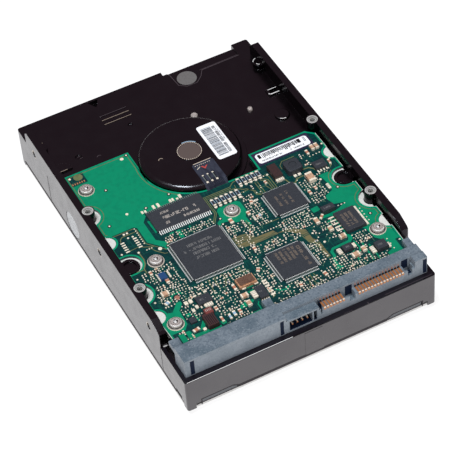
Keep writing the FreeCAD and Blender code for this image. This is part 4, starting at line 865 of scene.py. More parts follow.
def chip_leads():
    """Leads of every chip that stands on the board."""
    for node, sides, count, pitch, width, reach in LEADED_CHIPS:
        low, high = box_mm(node)
        centre = middle(low, high)
        half = [(high[axis] - low[axis]) / 2 for axis in range(2)]
        leads = Piece(node + "_leads", TIN_AND_GLINT, LEAD_SHADE)
        for side in sides:
            out = OUTWARD[side]
            # Fine-pitch lead bodies and the memory chip's north row, flats included, are grey as painted
            # shade; the other flats are bright as painted highlights.
            ink = 1 if pitch < 0.6 or side == "N" else 0
            flats = 1 if sides == "SN" and side == "N" else 0
            for i in range(count):
                along = (i - (count - 1) / 2) * pitch
                x = centre[0] + out[0] * half[0] + abs(out[1]) * along
                y = centre[1] + out[1] * half[1] + abs(out[0]) * along
                gull_wing(leads, x, y, out, width, reach, 0.5 * (high[2] - BOARD_TOP) + 0.1, ink, flats)
        leads.make()


def small_part(piece, x, y, length, width, turn, tone, height=0.45):
    """A chip part with tinned ends: ink 0 is solder, tone is the body's ink."""
    end = 0.26 * length
    piece.on_board(x, y, length - 2 * end, width * 0.94, height * 0.94, tone, turn)
    for sign in (-1, 1):
        shift = sign * (length - end) / 2
        piece.on_board(x + shift * math.cos(turn), y + shift * math.sin(turn), end, width, height, 0, turn)


def pad(piece, x, y, radius=0.27, sides=8):
    """A small solder dome."""
    piece.disc(x, y, radius, BOARD_TOP, BOARD_TOP + 0.07, 0, sides)
    piece.disc(x, y, radius * 0.6, BOARD_TOP + 0.07, BOARD_TOP + 0.13, 0, sides)


PAD_ROWS = [
    # first pad, last pad, how many
    ((4.6, -27.5), (11.5, -27.5), 7), ((2.8, -34.9), (10.4, -34.9), 6), ((3.0, -36.1), (9.6, -36.1), 5),
    ((41.3, -35.0), (41.3, -41.8), 5), ((21.4, -60.9), (28.6, -60.9), 8), ((30.8, -60.9), (38.4, -60.9), 8),
    ((24.6, -58.4), (28.2, -58.4), 4), ((-35.4, -1.6), (-35.4, -10.0), 8),
    ((30.6, -33.9), (30.6, -40.9), 5), ((42.1, -53.5), (42.1, -58.7), 3),
    ((-36.0, -13.5), (-34.0, -13.5), 3), ((2.6, -20.6), (2.6, -27.6), 6), ((1.2, -18.6), (1.2, -26.4), 7),
    ((21.6, -25.8), (21.6, -30.4), 4), ((23.0, -25.8), (23.0, -30.4), 4),
    ((-28.0, -40.4), (-10.0, -40.4), 14), ((-26.8, -41.8), (-9.0, -41.8), 12),
    ((-30.6, -38.8), (-9.4, -38.6), 15), ((-25.4, -44.6), (-25.4, -49.0), 4),
    ((-23.6, -45.2), (-23.6, -50.4), 4), ((35.2, -29.7), (37.9, -29.7), 3),
    ((13.6, -34.2), (13.6, -36.6), 3), ((-1.0, -60.9), (-7.4, -60.9), 4), ((5.6, -60.6), (13.6, -60.6), 7),
    ((16.2, -42.2), (18.4, -43.0), 3), ((-2.6, -19.0), (-6.0, -20.0), 4), ((12.4, -1.9), (18.6, -1.9), 4),
    ((36.6, -3.0), (36.9, -5.6), 3), ((38.8, -1.6), (43.0, -1.4), 4),
]
BARE_PADS = [(-34.5, 6.7, 0.55), (-23.6, 34.2, 0.75), (-45.4, 34.5, 0.5), (-31.5, -15.4, 0.75),
             (-40.0, -2.2, 0.45), (-38.7, -2.2, 0.45), (-39.4, -4.6, 0.4), (-37.6, -4.8, 0.4),
             (-39.2, -13.2, 0.45), (-45.0, -11.0, 0.4), (21.9, -43.2, 0.5), (46.0, 2.2, 0.4),
             (44.7, -6.1, 0.4), (20.2, -37.2, 0.4), (-45.4, -25.0, 0.35), (46.0, -56.0, 0.4),
             (-44.8, -38.4, 0.4), (-9.2, -42.8, 0.4), (36.2, -14.4, 0.5), (20.2, -1.9, 0.45)]
RINGED_VIAS = [(-36.0, 22.1), (-42.8, 4.4), (-27.0, 5.9), (-16.4, 8.0), (-28.3, -15.5), (-21.3, 35.2),
               (39.8, -21.2), (43.4, -39.2), (-5.6, -13.3), (-6.0, -16.3)]
# x, y, along x, along y, height: bright blocks of solder and terminals
BRIGHT_BLOCKS = [
    (22.9, -7.0, 3.2, 1.6, 0.9), (29.0, -8.0, 1.2, 1.1, 0.3), (30.8, -8.0, 1.2, 1.1, 0.3),
    (39.8, -38.6, 0.9, 10.4, 0.5), (-28.6, -48.7, 3.0, 2.4, 0.7), (-12.2, -53.2, 2.3, 3.2, 0.8),
    (-14.2, -48.4, 1.5, 1.0, 0.4), (-9.2, -48.4, 1.5, 1.0, 0.4), (24.0, -50.6, 1.6, 2.6, 0.7),
    (30.1, -50.4, 1.1, 2.0, 0.7), (34.9, -55.9, 1.6, 3.2, 0.7), (41.2, -56.6, 0.9, 2.4, 0.5),
    (-35.0, -58.6, 1.2, 1.2, 0.5), (37.0, -19.2, 1.1, 2.6, 0.5), (-38.4, -28.6, 0.7, 3.2, 0.5),
    (-34.4, -28.6, 0.7, 3.2, 0.5), (-35.4, -44.4, 1.3, 1.6, 0.5), (-33.6, -44.4, 1.3, 1.6, 0.5),
    (-34.6, -48.8, 1.1, 1.5, 0.5), (-32.8, -47.9, 1.1, 1.5, 0.5), (-27.0, -42.7, 1.3, 0.7, 0.3),
    (-29.2, -42.7, 1.3, 0.7, 0.3), (-31.2, -42.8, 1.3, 0.7, 0.3), (5.4, -19.6, 0.8, 2.4, 0.4),
    (9.8, -11.8, 2.4, 0.8, 0.4),
]
# x, y, length, width, turn in degrees, tone
PLACED_PARTS = [
    (-40.0, -25.0, 1.9, 1.1, 90, 3), (-36.3, -31.2, 2.2, 1.4, 90, 3), (-27.2, -52.0, 1.8, 1.2, 90, 3),
    (-17.0, -46.4, 3.0, 1.1, 90, 3), (-5.6, -43.2, 1.8, 1.3, 60, 3), (4.2, -57.6, 1.7, 1.2, 80, 3),
    (14.4, -57.2, 1.9, 1.3, 100, 3), (-1.8, -33.4, 2.0, 1.2, 90, 3), (-2.8, -16.6, 2.4, 1.4, 90, 3),
    (4.6, -16.4, 1.9, 1.2, 90, 3), (8.2, -11.8, 1.9, 1.2, 70, 3), (-20.4, -57.4, 1.9, 1.2, 90, 3),
    (-37.8, -57.4, 2.6, 1.3, 10, 3), (17.6, -5.4, 1.6, 0.9, 90, 3), (32.4, -17.6, 1.6, 1.0, 90, 3),
    (29.4, -18.6, 2.2, 1.1, 90, 3), (38.8, 0.6, 2.4, 1.0, 90, 3), (-22.6, -57.4, 2.4, 1.1, 90, 4),
    (-41.2, -41.0, 2.0, 1.4, 20, 4), (7.8, -19.4, 1.3, 1.0, 0, 4), (-27.6, -57.6, 2.6, 0.9, 90, 3),
    (27.0, -31.8, 2.4, 1.0, 45, 3), (-24.6, -58.0, 2.4, 0.9, 90, 4), (43.6, -8.0, 2.6, 0.8, 84, 3),
]
MEMORY_NEIGHBOURS = [(-29.2, 4.5, 0.8, 1.4), (-28.0, 4.3, 0.8, 1.5), (-24.3, 4.9, 1.0, 2.0),
                     (-22.4, 4.9, 1.0, 2.2), (-17.5, 4.6, 0.9, 1.7), (-16.4, 4.7, 0.8, 1.5),
                     (-14.7, 4.3, 0.9, 0.9), (-13.3, 5.0, 1.1, 1.9)]
REGULATOR_PADS = [(29.8, -33.9 - 1.75 * i, 2.4, 0.62) for i in range(5)]
UNFITTED_PADS = [(x, -6.0 - 1.22 * i, 1.5, 0.55) for x in (-42.4, -37.3) for i in range(5)]
CONNECTOR_PADS = [(-6.3, y, 1.7, 0.8) for y in (-48.8, -50.1, -51.5, -53.0, -54.4, -56.0)]
# west, south, east, north, spacing, share filled
ZONES = [
    (-43.8, -33.8, -30.0, -23.0, 1.15, 0.8), (-43.0, -43.0, -30.0, -33.4, 1.15, 0.8),
    (-39.0, -54.0, -31.6, -42.0, 1.2, 0.8), (-28.0, -14.7, -7.6, -10.3, 1.15, 0.9),
    (-6.0, -43.6, 0.2, -17.0, 1.15, 0.75), (-34.0, -44.6, -8.0, -38.0, 1.2, 0.7),
    (-27.4, -61.8, -15.4, -43.4, 1.25, 0.72), (-8.4, -62.0, 0.4, -42.4, 1.2, 0.7),
    (5.2, -24.4, 11.6, -10.4, 1.1, 0.9), (0.0, -28.0, 5.4, -16.6, 1.2, 0.7),
    (11.4, -33.6, 25.4, -24.9, 1.15, 0.8), (27.0, -24.6, 36.8, -11.2, 1.1, 0.85),
    (6.0, -10.4, 18.0, -3.4, 1.4, 0.45), (35.0, -5.6, 38.2, 2.8, 1.3, 0.6),
    (-2.0, -36.8, 16.0, -31.4, 1.2, 0.6), (15.2, -52.4, 20.2, -40.6, 1.15, 0.85),
    (24.0, -43.2, 30.4, -33.4, 1.15, 0.85), (31.6, -50.6, 38.4, -43.6, 1.1, 0.9),
    (0.0, -61.6, 18.4, -54.4, 1.2, 0.7), (18.4, -61.8, 34.6, -51.4, 1.15, 0.85),
    (-44.0, -60.2, -36.6, -54.4, 1.2, 0.6), (36.4, -12.4, 44.0, -9.6, 1.2, 0.7),
    (-31.0, -30.0, -29.8, -17.6, 1.2, 0.7), (26.6, -13.4, 31.4, -9.6, 1.2, 0.6),
    (20.4, -40.6, 24.2, -31.4, 1.3, 0.5), (33.0, -61.4, 44.0, -57.2, 1.15, 0.7),
]


def taken_places():
    """Rectangles on the board that already hold something."""
    taken = []
    reach = {node: far + 0.3 for node, _, _, _, _, far in LEADED_CHIPS}
    for node in frame["nodes"]:
        low, high = box_mm(node)
        on_board = high[2] > BOARD_TOP and low[2] > BOARD_TOP - 0.3 and high[0] - low[0] < 90
        if on_board or node in ("board_screws", "motor_flex_strip"):
            margin = reach.get(node, 0.3)
            for low, high in islands(node):
                taken.append((low[0] - margin, low[1] - margin, high[0] + margin, high[1] + margin))
    for x, y, wide, long, _ in BRIGHT_BLOCKS:
        taken.append((x - wide / 2 - 0.1, y - long / 2 - 0.1, x + wide / 2 + 0.1, y + long / 2 + 0.1))
    for x, y, length, _, _, _ in PLACED_PARTS:
        taken.append((x - length / 2, y - length / 2, x + length / 2, y + length / 2))
    return taken


def scattered_parts():
    """Vias, pads and tiny chip parts over the dark zones, clear of what is already there."""
    draw = random.Random(7)
    piece = Piece("scattered_parts", *PART_INKS)
    taken = taken_places()
    outline = inset(top_outline("circuit_board", BOARD_TOP), 1.0)

    def clear(x, y, wide, long):
        if not inside(x, y, outline) or any(inside(x, y, pour) for pour in POURS[:4]):
            return False
        return not any(x + wide / 2 > a and x - wide / 2 < c and y + long / 2 > b and y - long / 2 < d
                       for a, b, c, d in taken)

    def take(x, y, wide, long):
        taken.append((x - wide / 2, y - long / 2, x + wide / 2, y + long / 2))

    for west, south, east, north, spacing, share in ZONES:
        for row in range(int((north - south) / spacing)):
            for column in range(int((east - west) / spacing)):
                x = west + (column + 0.5) * spacing + draw.uniform(-0.2, 0.2)
                y = south + (row + 0.5) * spacing + draw.uniform(-0.2, 0.2)
                pick = draw.random()
                if pick > share or not clear(x, y, 0.6, 0.6):
                    continue
                upright = draw.random() < 0.65
                turn = math.pi / 2 * upright
                size = (0.6, 1.4) if upright else (1.4, 0.6)
                if pick < 0.24 * share and clear(x, y, *size):
                    small_part(piece, x, y, 1.35, 0.6, turn, draw.choice((1, 2, 2, 2, 2, 2, 3, 5)), 0.4)
                    take(x, y, *size)
                elif pick < 0.45 * share:
                    piece.on_board(x, y, 0.6, 0.42, 0.12, 0, turn)
                    take(x, y, 0.9, 0.9)
                else:
                    pad(piece, x, y, draw.uniform(0.18, 0.28))
                    take(x, y, 0.8, 0.8)
                    heading = math.radians(draw.choice(range(0, 360, 45)))
                    reach = draw.uniform(0.8, 2.2)
                    end = (x + reach * math.cos(heading), y + reach * math.sin(heading))
                    if clear(*end, 0.3, 0.3):
                        piece.ribbon([(x, y), end], 0.16, BOARD_TOP, BOARD_TOP + 0.025, 6)
    piece.make()


def placed_parts():
    """Pads, blocks and chip parts that stand at their own places."""
    placed = Piece("placed_parts", *PART_INKS)
    for (ax, ay), (bx, by), count in PAD_ROWS:
        for i in range(count):
            share = i / (count - 1)
            pad(placed, ax + (bx - ax) * share, ay + (by - ay) * share)
    for x, y, radius in BARE_PADS:
        pad(placed, x, y, radius, 14)
    for x, y, wide, long, height in BRIGHT_BLOCKS:
        placed.on_board(x, y, wide, long, height)
        if max(wide, long) > 2.2:
            grey_stripes(placed, x, y, wide, long, BOARD_TOP + height)
    for x, y, length, width, turn, tone in PLACED_PARTS:
        small_part(placed, x, y, length, width, math.radians(turn), tone, 0.6)
    for x, y, wide, long in UNFITTED_PADS + CONNECTOR_PADS + REGULATOR_PADS + MEMORY_NEIGHBOURS:
        placed.on_board(x, y, wide, long, 0.1)
    placed.make()


def grey_stripes(piece, x, y, wide, long, top):
    """Three thin stripes across a block's length."""
    for shift in (-0.22, 0.08, 0.3):
        if wide > long:
            piece.box(x + shift * wide, y, 0.16, long, top, top + 0.02, 5)
        else:
            piece.box(x, y + shift * long, wide, 0.16, top, top + 0.02, 5)


def ringed_vias():
    """Vias with a bare ring round each hole."""
    vias = Piece("ringed_vias", BLACK_INK, SOLDER)
    for x, y in RINGED_VIAS:
        vias.disc(x, y, 0.75, BOARD_TOP, BOARD_TOP + 0.04, 0, 16)
        vias.disc(x, y, 0.36, BOARD_TOP, BOARD_TOP + 0.12, 1, 10)
    vias.make()


def red_block():
    """Red-brown capacitor beside the tantalum one, and the ribs on top of its neighbour."""
    top = box_mm("tantalum_capacitors")[1][2]
    red = Piece("red_block", BRICK_RED, CHIP_MARK, DARK_TONE_AND_SHADE)
    red.box(-30.7, -53.1, 3.0, 2.6, BOARD_TOP, top + 0.15)
    for i in range(4):
        red.box(-31.6 + 0.6 * i, -52.8, 0.2, 1.1, top + 0.15, top + 0.17, 1)
    for i in range(5):
        red.box(-33.2 + 0.7 * i, -57.2, 0.3, 4.6, top, top + 0.05, 2)
    red.make(bevel=0.1)


def copper_spot():
    spot = Piece("copper_spot", DULL_COPPER)
    spot.disc(-36.9, -40.2, 1.0, BOARD_TOP, BOARD_TOP + 0.35, 0, 20)
    spot.make(bevel=0.15)


def capacitor_ends(piece):
    """Metal ends of the ceramic capacitors."""
    for low, high in islands("ceramic_capacitors"):
        wide, long = high[0] - low[0], high[1] - low[1]
        x, y = middle(low, high)
        if math.dist((x, y), BLUE_CAPACITOR) < 2.5:
            continue
        for sign in (-1, 1):
            if wide > long:
                piece.box(x + sign * wide * 0.42, y, wide * 0.2, long + 0.08, BOARD_TOP, high[2] + 0.04)
            else:
                piece.box(x, y + sign * long * 0.42, wide + 0.08, long * 0.2, BOARD_TOP, high[2] + 0.04)


def array_ends(piece):
    """Soldered ends of the resistor arrays."""
    for low, high in islands("resistor_arrays"):
        x, y = middle(low, high)
        wide, long, top = high[0] - low[0], high[1] - low[1], high[2]
        piece.disc(x, low[1] - 0.25, 0.62, BOARD_TOP, BOARD_TOP + 0.35, 0, 12)
        piece.disc(x, high[1] + 0.2, 0.42, BOARD_TOP, BOARD_TOP + 0.25, 0, 10)
        for side in (-1, 1):
            piece.box(x + side * 0.4 * wide, y, 0.16, long, top, top + 0.03, 1)
            piece.box(x, y + side * long * 0.39, wide, long * 0.2, top, top + 0.03)


def tinned_ends():
    """Silver ends on the larger ceramic capacitors and on the resistor arrays."""
    ends = Piece("tinned_ends", SOLDER, PALE_TONE_AND_GLINT)
    capacitor_ends(ends)
    array_ends(ends)
    ends.make()


def small_chip_feet():
    """Short feet of the small chips."""
    feet = Piece("small_chip_feet", SOLDER)
    for low, high in islands("small_chips"):
        wide = high[0] - low[0]
        if wide > 3:
            for i in range(4):
                for y in (low[1] - 0.45, high[1] + 0.45):
                    feet.on_board(low[0] + wide * (0.125 + 0.25 * i), y, 0.55, 1.0, 0.3)
    feet.make()


# ---------------------------------------------------------------- printed marks, all meaningless

STROKES = [(-0.2, 0, 0.15, 0.9), (0.2, 0, 0.15, 0.9), (0, 0.35, 0.4, 0.15), (0, 0, 0.4, 0.15),
           (0, -0.35, 0.4, 0.15)]


def marks(piece, draw, x, y, length, height, low, turn=0.0, ink=0):
    """A row of short strokes that stands for print without being any letter."""
    c, s = math.cos(turn), math.sin(turn)
    step = 0.62 * height
    for i in range(int(length / step)):
        if draw.random() < 0.12:
            continue
        for aside, up, wide, long in STROKES:
            if draw.random() < 0.6:
                u, v = -length / 2 + (i + 0.5) * step + aside * height, up * height
                spot = x + c * u - s * v, y + s * u + c * v
                piece.box(*spot, wide * height, long * height, low, low + PRINT, ink, turn)


MEMORY_PRINT = [(-17.0, -2.9, 14.6, 1.7), (-23.0, -5.7, 2.8, 1.4), (-13.6, -5.7, 7.4, 1.4),
                (-22.4, -0.2, 4.0, 1.2)]
# chip, turn, ink, then x, y, length and height of each row
CHIP_PRINT = [
    ("controller_chip", 0, 0, [(-17.8, -20.7, 10.5, 1.5), (-17.8, -23.0, 15.0, 1.5), (-17.8, -25.2, 9.6, 1.5),
                               (-17.8, -27.6, 10.0, 1.5)]),
    ("interface_chip", QUARTER, 1, [(x, -42.8, 6.4, 1.1) for x in (3.0, 4.7, 6.5, 8.2, 9.7)]),
    ("interface_chip", QUARTER, 1, [(11.7, -45.4, 11.6, 1.4)]),
    ("motor_driver_chip", QUARTER, 1, [(16.6, -17.6, 5.6, 1.0), (19.0, -17.4, 6.6, 1.0),
                                       (21.3, -17.2, 7.4, 1.0)]),
    ("regulator_chip", QUARTER, 1, [(x, -38.6, 7.4, 1.1) for x in (33.0, 34.6, 36.2)]),
]


def chip_print():
    """Meaningless rows of marks on the chips."""
    draw = random.Random(21)
    bright = Piece("memory_print", CHIP_MARK)
    for row in MEMORY_PRINT:
        marks(bright, draw, *row, box_mm("memory_chip")[1][2])
    bright.make()
    faint = Piece("chip_print", FAINT_MARK, TAN_MARK)
    for chip, turn, ink, rows in CHIP_PRINT:
        for row in rows:
            marks(faint, draw, *row, box_mm(chip)[1][2], turn, ink)
    for low, high in islands("small_chips") + islands("diodes"):
        wide = high[0] - low[0]
        if wide > 3:
            marks(faint, draw, *middle(low, high), wide * 0.6, 0.9, high[2])
    faint.make()


def board_label_print(draw):
    """Bars, blocks and marks on the white label, and the dark border round it."""
    low, high = box_mm("board_label")
    top = high[2]
    ink = Piece("board_label_print", BLACK_INK, GREY_INK)
    x = low[0] + 3.2
    while x < high[0] - 4.4:
        wide = draw.uniform(0.2, 0.5)
        reach = draw.uniform(1.8, 2.9)
        tone = draw.choice((0, 0, 0, 1))
        ink.box(x + wide / 2, high[1] - 0.5 - reach / 2, wide, reach, top, top + PRINT, tone)
        x += wide + draw.uniform(0.1, 0.24)
    for x in (low[0] + 1.5, high[0] - 3.6):
        ink.box(x, high[1] - 1.6, 1.15, 2.2, top, top + 0.014)
    for x in (low[0] + 2.7, high[0] - 1.6, high[0] - 1.1):
        ink.box(x, high[1] - 1.7, 0.25, 2.6, top, top + PRINT, 1)
    marks(ink, draw, low[0] + 6.0, low[1] + 1.1, 9.0, 0.9, top)
    marks(ink, draw, high[0] - 5.4, low[1] + 1.1, 7.4, 0.9, top)
    ink.make()
    border = Piece("board_label_border", PURPLE_INK)
    margin = 0.9
    border.on_board(*middle(low, high), high[0] - low[0] + 2 * margin, high[1] - low[1] + 2 * margin, 0.05)
    border.make()


def dome_label_print(draw):
    """Bars and marks across the label on the dome."""
    low, high = box_mm("dome_label")
    x, y = middle(low, high)
    top = high[2]
    code = Piece("dome_label_print", GREY_INK, PALE_INK)
    start = low[1] + 1.8
    while start < high[1] - 2.0:
        thick = draw.uniform(0.12, 0.5)
        code.box(x - 0.9, start + thick / 2, 4.1, thick, top, top + PRINT, draw.choice((0, 0, 1)))
        start += thick + draw.uniform(0.06, 0.22)
    for _ in range(2):
        marks(code, draw, high[0] - 1.9, y, 16.4, 1.3, top, QUARTER)
    marks(code, draw, high[0] - 0.8, y + 3, 9, 0.6, top, QUARTER)
    code.make()


def label_print():
    draw = random.Random(5)
    board_label_print(draw)
    dome_label_print(draw)


# ---------------------------------------------------------------- connector, dome and casting details

def contact_tips():
    """Painted highlights on the contacts' bright tips and the pins' ends, painted shade at the contacts'
    roots, and the contacts' copper tails.
    """
    tips = Piece("contact_tips", CREAM_METAL_AND_GLINT, DARK_TONE_AND_SHADE, COPPER_PART)
    wall = box_mm("connector_contacts")[1][1]
    for low, high in islands("connector_contacts"):
        x = middle(low, high)[0]
        wide, top = high[0] - low[0], high[2]
        tips.box(x, low[1] + 0.22, wide * 0.9, 0.5, top - 0.02, top + 0.05)
        tips.box(x, high[1] - 0.25, wide * 1.1, 0.5, top - 0.02, top + 0.03, 1)
        tips.box(x, wall, wide * 0.4, 0.1, top + 0.5, top + 1.4, 2)
        tips.box(x, wall, wide * 0.8, 0.12, top, top + 0.5, 1)
    for low, high in islands("header_pins"):
        tips.box(middle(low, high)[0], low[1] + 0.7, 0.5, 1.3, high[2] - 0.02, high[2] + 0.05)
    tips.make()


def connector_recesses():
    """Painted shade: dark faces inside the key notches, the slots of the front face and the jumper recess."""
    deep = Piece("connector_recesses", NAVY_SHADE)
    wall = box_mm("connector_contacts")[1][1]
    front = box_mm("connector_housing")[0][1]
    deep.box(17.9, wall - 0.03, 2.8, 0.06, 19.2, 24.0)
    deep.box(41.0, wall - 0.03, 2.6, 0.06, 20.2, 24.6)
    deep.box(42.2, wall - 1.4, 1.9, 2.6, 18.4, 18.45)
    for x, wide in ((-46.3, 1.6), (-10.8, 1.4), (47.6, 1.6)):
        deep.box(x, front, wide, 0.06, 17.4, 24.4)
    for x, wide, depth in ((-3.2, 9.1, 4.6), (2.65, 1.2, 2.6)):
        deep.box(x, front + depth / 2, wide, depth, 18.0, 18.04)
        deep.box(x, front + depth - 0.03, wide, 0.06, 18.0, 22.5)
    deep.box(5.46, front + 2.0, 0.08, 2.6, 20.0, 23.4)
    deep.make()


def flex_contacts():
    """Traces, pads and a red mark on the motor's flex strip."""
    far, top = box_mm("motor_flex_strip")[1][1:]
    flex = Piece("flex_contacts", SOLDER, LEAD_SHADE, RED_INK, BLACK_INK)
    for x in (-1.7, 0.3, 2.4):
        flex.box(x, 6.8, 0.7, 3.8, top, top + 0.04, 3)
        flex.box(x - 0.2, 6.8, 0.3, 3.4, top, top + 0.06, 1)
        flex.box(x, 8.4, 0.7, 0.5, top, top + 0.07)
        flex.box(x, 4.4, 0.8, 0.8, top - 0.1, top + 0.1)
    for i in range(8):
        flex.box(-1.9 + 0.85 * i, far - 1.0, 0.4, 0.22, top, top + 0.03)
    arrow = [(-0.2, 13.2), (1.0, 11.3), (2.6, 13.0), (1.8, 12.9), (1.1, 12.2), (0.6, 13.2)]
    flex.prism(arrow, top, top + 0.04, 2)
    flex.box(-1.2, 12.8, 1.8, 0.25, top, top + 0.03, 0, 0.5)
    flex.make()


def dome_details():
    """Painted highlight along the slot's edge, a toothed collar round the sleeve's end with a painted
    crescent highlight, and a painted highlight on the rim of a small pit on the dome.
    """
    slot = Piece("dome_slot_glint", CREAM_METAL_AND_GLINT)
    slot.box(1.5, box_mm("motor_flex_strip")[1][1] + 0.3, 7.4, 0.24, DOME_TOP - 0.03, DOME_TOP + 0.06)
    slot.make()
    collar = Piece("spindle_collar", CREAM_METAL_AND_GLINT, MATERIALS["black_coat"], PALE_TONE_AND_GLINT)
    face = SLEEVE_HIGH[2]
    for i in range(36):
        turn = math.radians(10 * i)
        collar.box(SPINDLE_X + 4.66 * math.cos(turn), SPINDLE_Y + 4.66 * math.sin(turn), 0.28, 0.46, face,
                   face + 0.06, 0, turn)
    collar.ribbon(arc(SPINDLE_X, SPINDLE_Y, 5.3, 38, 98, 12), 0.5, DOME_TOP, DOME_TOP + 0.05, 2)
    collar.ring(SPINDLE_X, SPINDLE_Y, SLEEVE_HIGH[0] - SPINDLE_X, 4.5, face, face + 0.03, 1)
    collar.make()
    pit = Piece("dome_pit_glint", EDGE_GLINT)
    pit.ribbon(arc(-11.5, 24.2, 0.9, 20, 170, 8), 0.3, DOME_TOP, DOME_TOP + 0.05)
    pit.make()


def side_ring(piece, x, y):
    """One thread ring of a side hole."""
    start = len(piece.points)
    piece.ring(y, SIDE_HOLE_HEIGHT, *THREAD, x, x + 0.3)
    piece.turned_up(start)


def hole_rings():
    """Bare ring faces of the posts, and threads in the posts and the side holes."""
    rings = Piece("machined_rings", MACHINED)
    for x, y in POSTS:
        rings.ring(x, y, 2.15, 1.74, POST_TOP, POST_TOP + 0.07)
        rings.ring(x, y, 1.6, 1.38, POST_TOP, POST_TOP + 0.06)
        for turn in range(7):
            rings.ring(x, y, *THREAD, 25.4 - 0.6 * turn, 25.75 - 0.6 * turn)
    for y in SIDE_HOLES:
        for turn in range(6):
            side_ring(rings, -50.4 + 0.6 * turn, y)
            side_ring(rings, 50.1 - 0.6 * turn, y)
    rings.make()


def screw_faces():
    """Solder rings under the board screws, and on each head a dark cross and dark rings as painted shade in
    its recess and creases, with painted glints.
    """
    pads_under = Piece("screw_pads", SOLDER)
    crosses = Piece("screw_crosses", DARK_TONE_AND_SHADE, TIN_AND_GLINT)
    for low, high in islands("board_screws"):
        x, y = middle(low, high)
        top = high[2]
        pads_under.ring(x, y, 3.15, 2.3, BOARD_TOP, BOARD_TOP + 0.05)
        for turn in (0.3, 0.3 + QUARTER):
            crosses.box(x, y, 1.9, 0.36, top - 0.02, top + 0.02, 0, turn)
            crosses.box(x - 0.3 * math.sin(turn), y + 0.3 * math.cos(turn), 1.5, 0.2, top - 0.02, top + 0.03,
                        1, turn)
        crosses.ring(x, y, 2.8, 2.5, BOARD_TOP + 0.33, BOARD_TOP + 0.4)
        crosses.ring(x, y, 1.72, 1.6, top - 0.02, top + 0.02)
        crosses.disc(x - 0.15, y - 0.35, 0.45, top - 0.02, top + 0.04, 1)
        crosses.ribbon(arc(x, y, 2.25, 190, 320, 10), 0.22, top - 0.3, top - 0.14, 1)
    pads_under.make()
    crosses.make()


def side_glints():
    """Painted highlights: bright crescents on the rims of the side holes, and a spot below each."""
    glints = Piece("side_hole_glints", CREAM_METAL_AND_GLINT)
    for x in (-50.84, 50.78):
        for y in SIDE_HOLES:
            start = len(glints.points)
            glints.ribbon(arc(y, SIDE_HOLE_HEIGHT, 1.55, -30, 110, 8), 0.28, x, x + 0.06)
            glints.disc(y - 1.1, SIDE_HOLE_HEIGHT - 1.05, 0.3, x, x + 0.06)
            glints.turned_up(start)
    glints.make()


def cover_joint_shadow():
    """Painted shadow in the joint between the case and the cover, seen all round above the bright flange."""
    joint = Piece("cover_joint_shadow", JOINT_SHADOW)
    low, high = 3.5, 4.8
    for side in (-1, 1):
        joint.box(side * 50.77, 2.8, 0.14, 134.0, low, high)
        joint.box(side * 49.6, -66.75, 0.06, 4.5, low, 5.75)
    gap = [(45.4, 3.0), (45.4, 5.9), (32.6, 5.9), (30.3, 4.8), (30.3, 4.3), (32.9, 5.5), (45.0, 5.5),
           (45.0, 3.0)]
    for side, wide in ((-1, 60.6), (1, 94.0)):
        joint.box(0, side * 73.47, wide, 0.14, low, high)
        joint.swept([(side * x, 0, z) for x, z in gap], (0, -73.54, 0), (0, 0.08, 0))
    joint.make()


def front_rim():
    """Painted shade over the rim in front of the connector and beside it, with painted highlights along its
    edges and at the left rail's end.
    """
    rim = Piece("front_rim_shade_and_glints", RIM_SHADE, TIN_AND_GLINT, FAINT_GLINT)
    top = box_mm("connector_housing")[0][2]
    rim.box(0, -72.0, 100.2, 2.2, top - 0.02, top + 0.02)
    for x, wide in ((-49.95, 1.3), (49.65, 1.9)):
        rim.box(x, -62.6, wide, 16.6, top - 0.02, top + 0.02)
    rim.ribbon([(-50.0, -73.22), (-8.0, -73.22)], 0.2, top - 0.02, top + 0.04, 1)
    rim.ribbon([(30.0, -72.6), (49.6, -72.6)], 0.14, top, top + 0.03, 2)
    rim.box(22.8, -73.0, 0.3, 0.8, top, top + 0.04, 2)
    for i in range(4):
        rim.box(13.4 + 0.9 * i, -73.0, 0.5, 0.14, top, top + 0.03, 2)
    rim.box(-48.9, -54.25, 1.6, 0.3, top, top + 0.3, 1)
    rim.make()


def parting_lines():
    """Faint parting lines on the left side and the low pad on the front face."""
    lines = Piece("parting_lines", MATERIALS["black_coat"])
    for y, high in ((-53.8, 16.9), (44.8, 18.0)):
        lines.box(-50.82, y, 0.12, 0.35, 4.6, high)
    lines.box(0.3, -73.52, 7.4, 0.1, 4.6, 16.2)
    lines.make(bevel=0.03)


def deck_bars():
    """Painted highlights on the three raised bars and along the edges of the small cast marks on the deck."""
    bars = Piece("deck_bar_glints", EDGE_GLINT, FAINT_GLINT)
    for row, ink in enumerate((0, 0, 1)):
        bars.box(-14.4, 57.5 + 2.5 * row, 11.6, 0.2, DECK + 0.18, DECK + 0.24, ink)
    bars.ribbon([(-47.2, 41.9), (-43.2, 41.9)], 0.2, 20.3, 20.34)
    for start, end, steps in ((100, 175, 6), (190, 230, 4)):
        bars.ribbon(arc(-45.3, 57.6, 2.3, start, end, steps), 0.22, 20.6, 20.66)
    for path, width in (([(-37.0, 46.6), (-35.6, 46.8)], 0.18), ([(-36.4, 45.4), (-35.2, 45.5)], 0.18),
                        (arc(-29.4, 42.2, 1.1, 40, 150, 5), 0.2)):
        bars.ribbon(path, width, DECK, DECK + 0.03, 1)
    bars.ribbon(arc(-45.0, 42.5, 4.0, 20, 120, 8), 0.14, DECK + 0.02, DECK + 0.05, 1)
    bars.make()


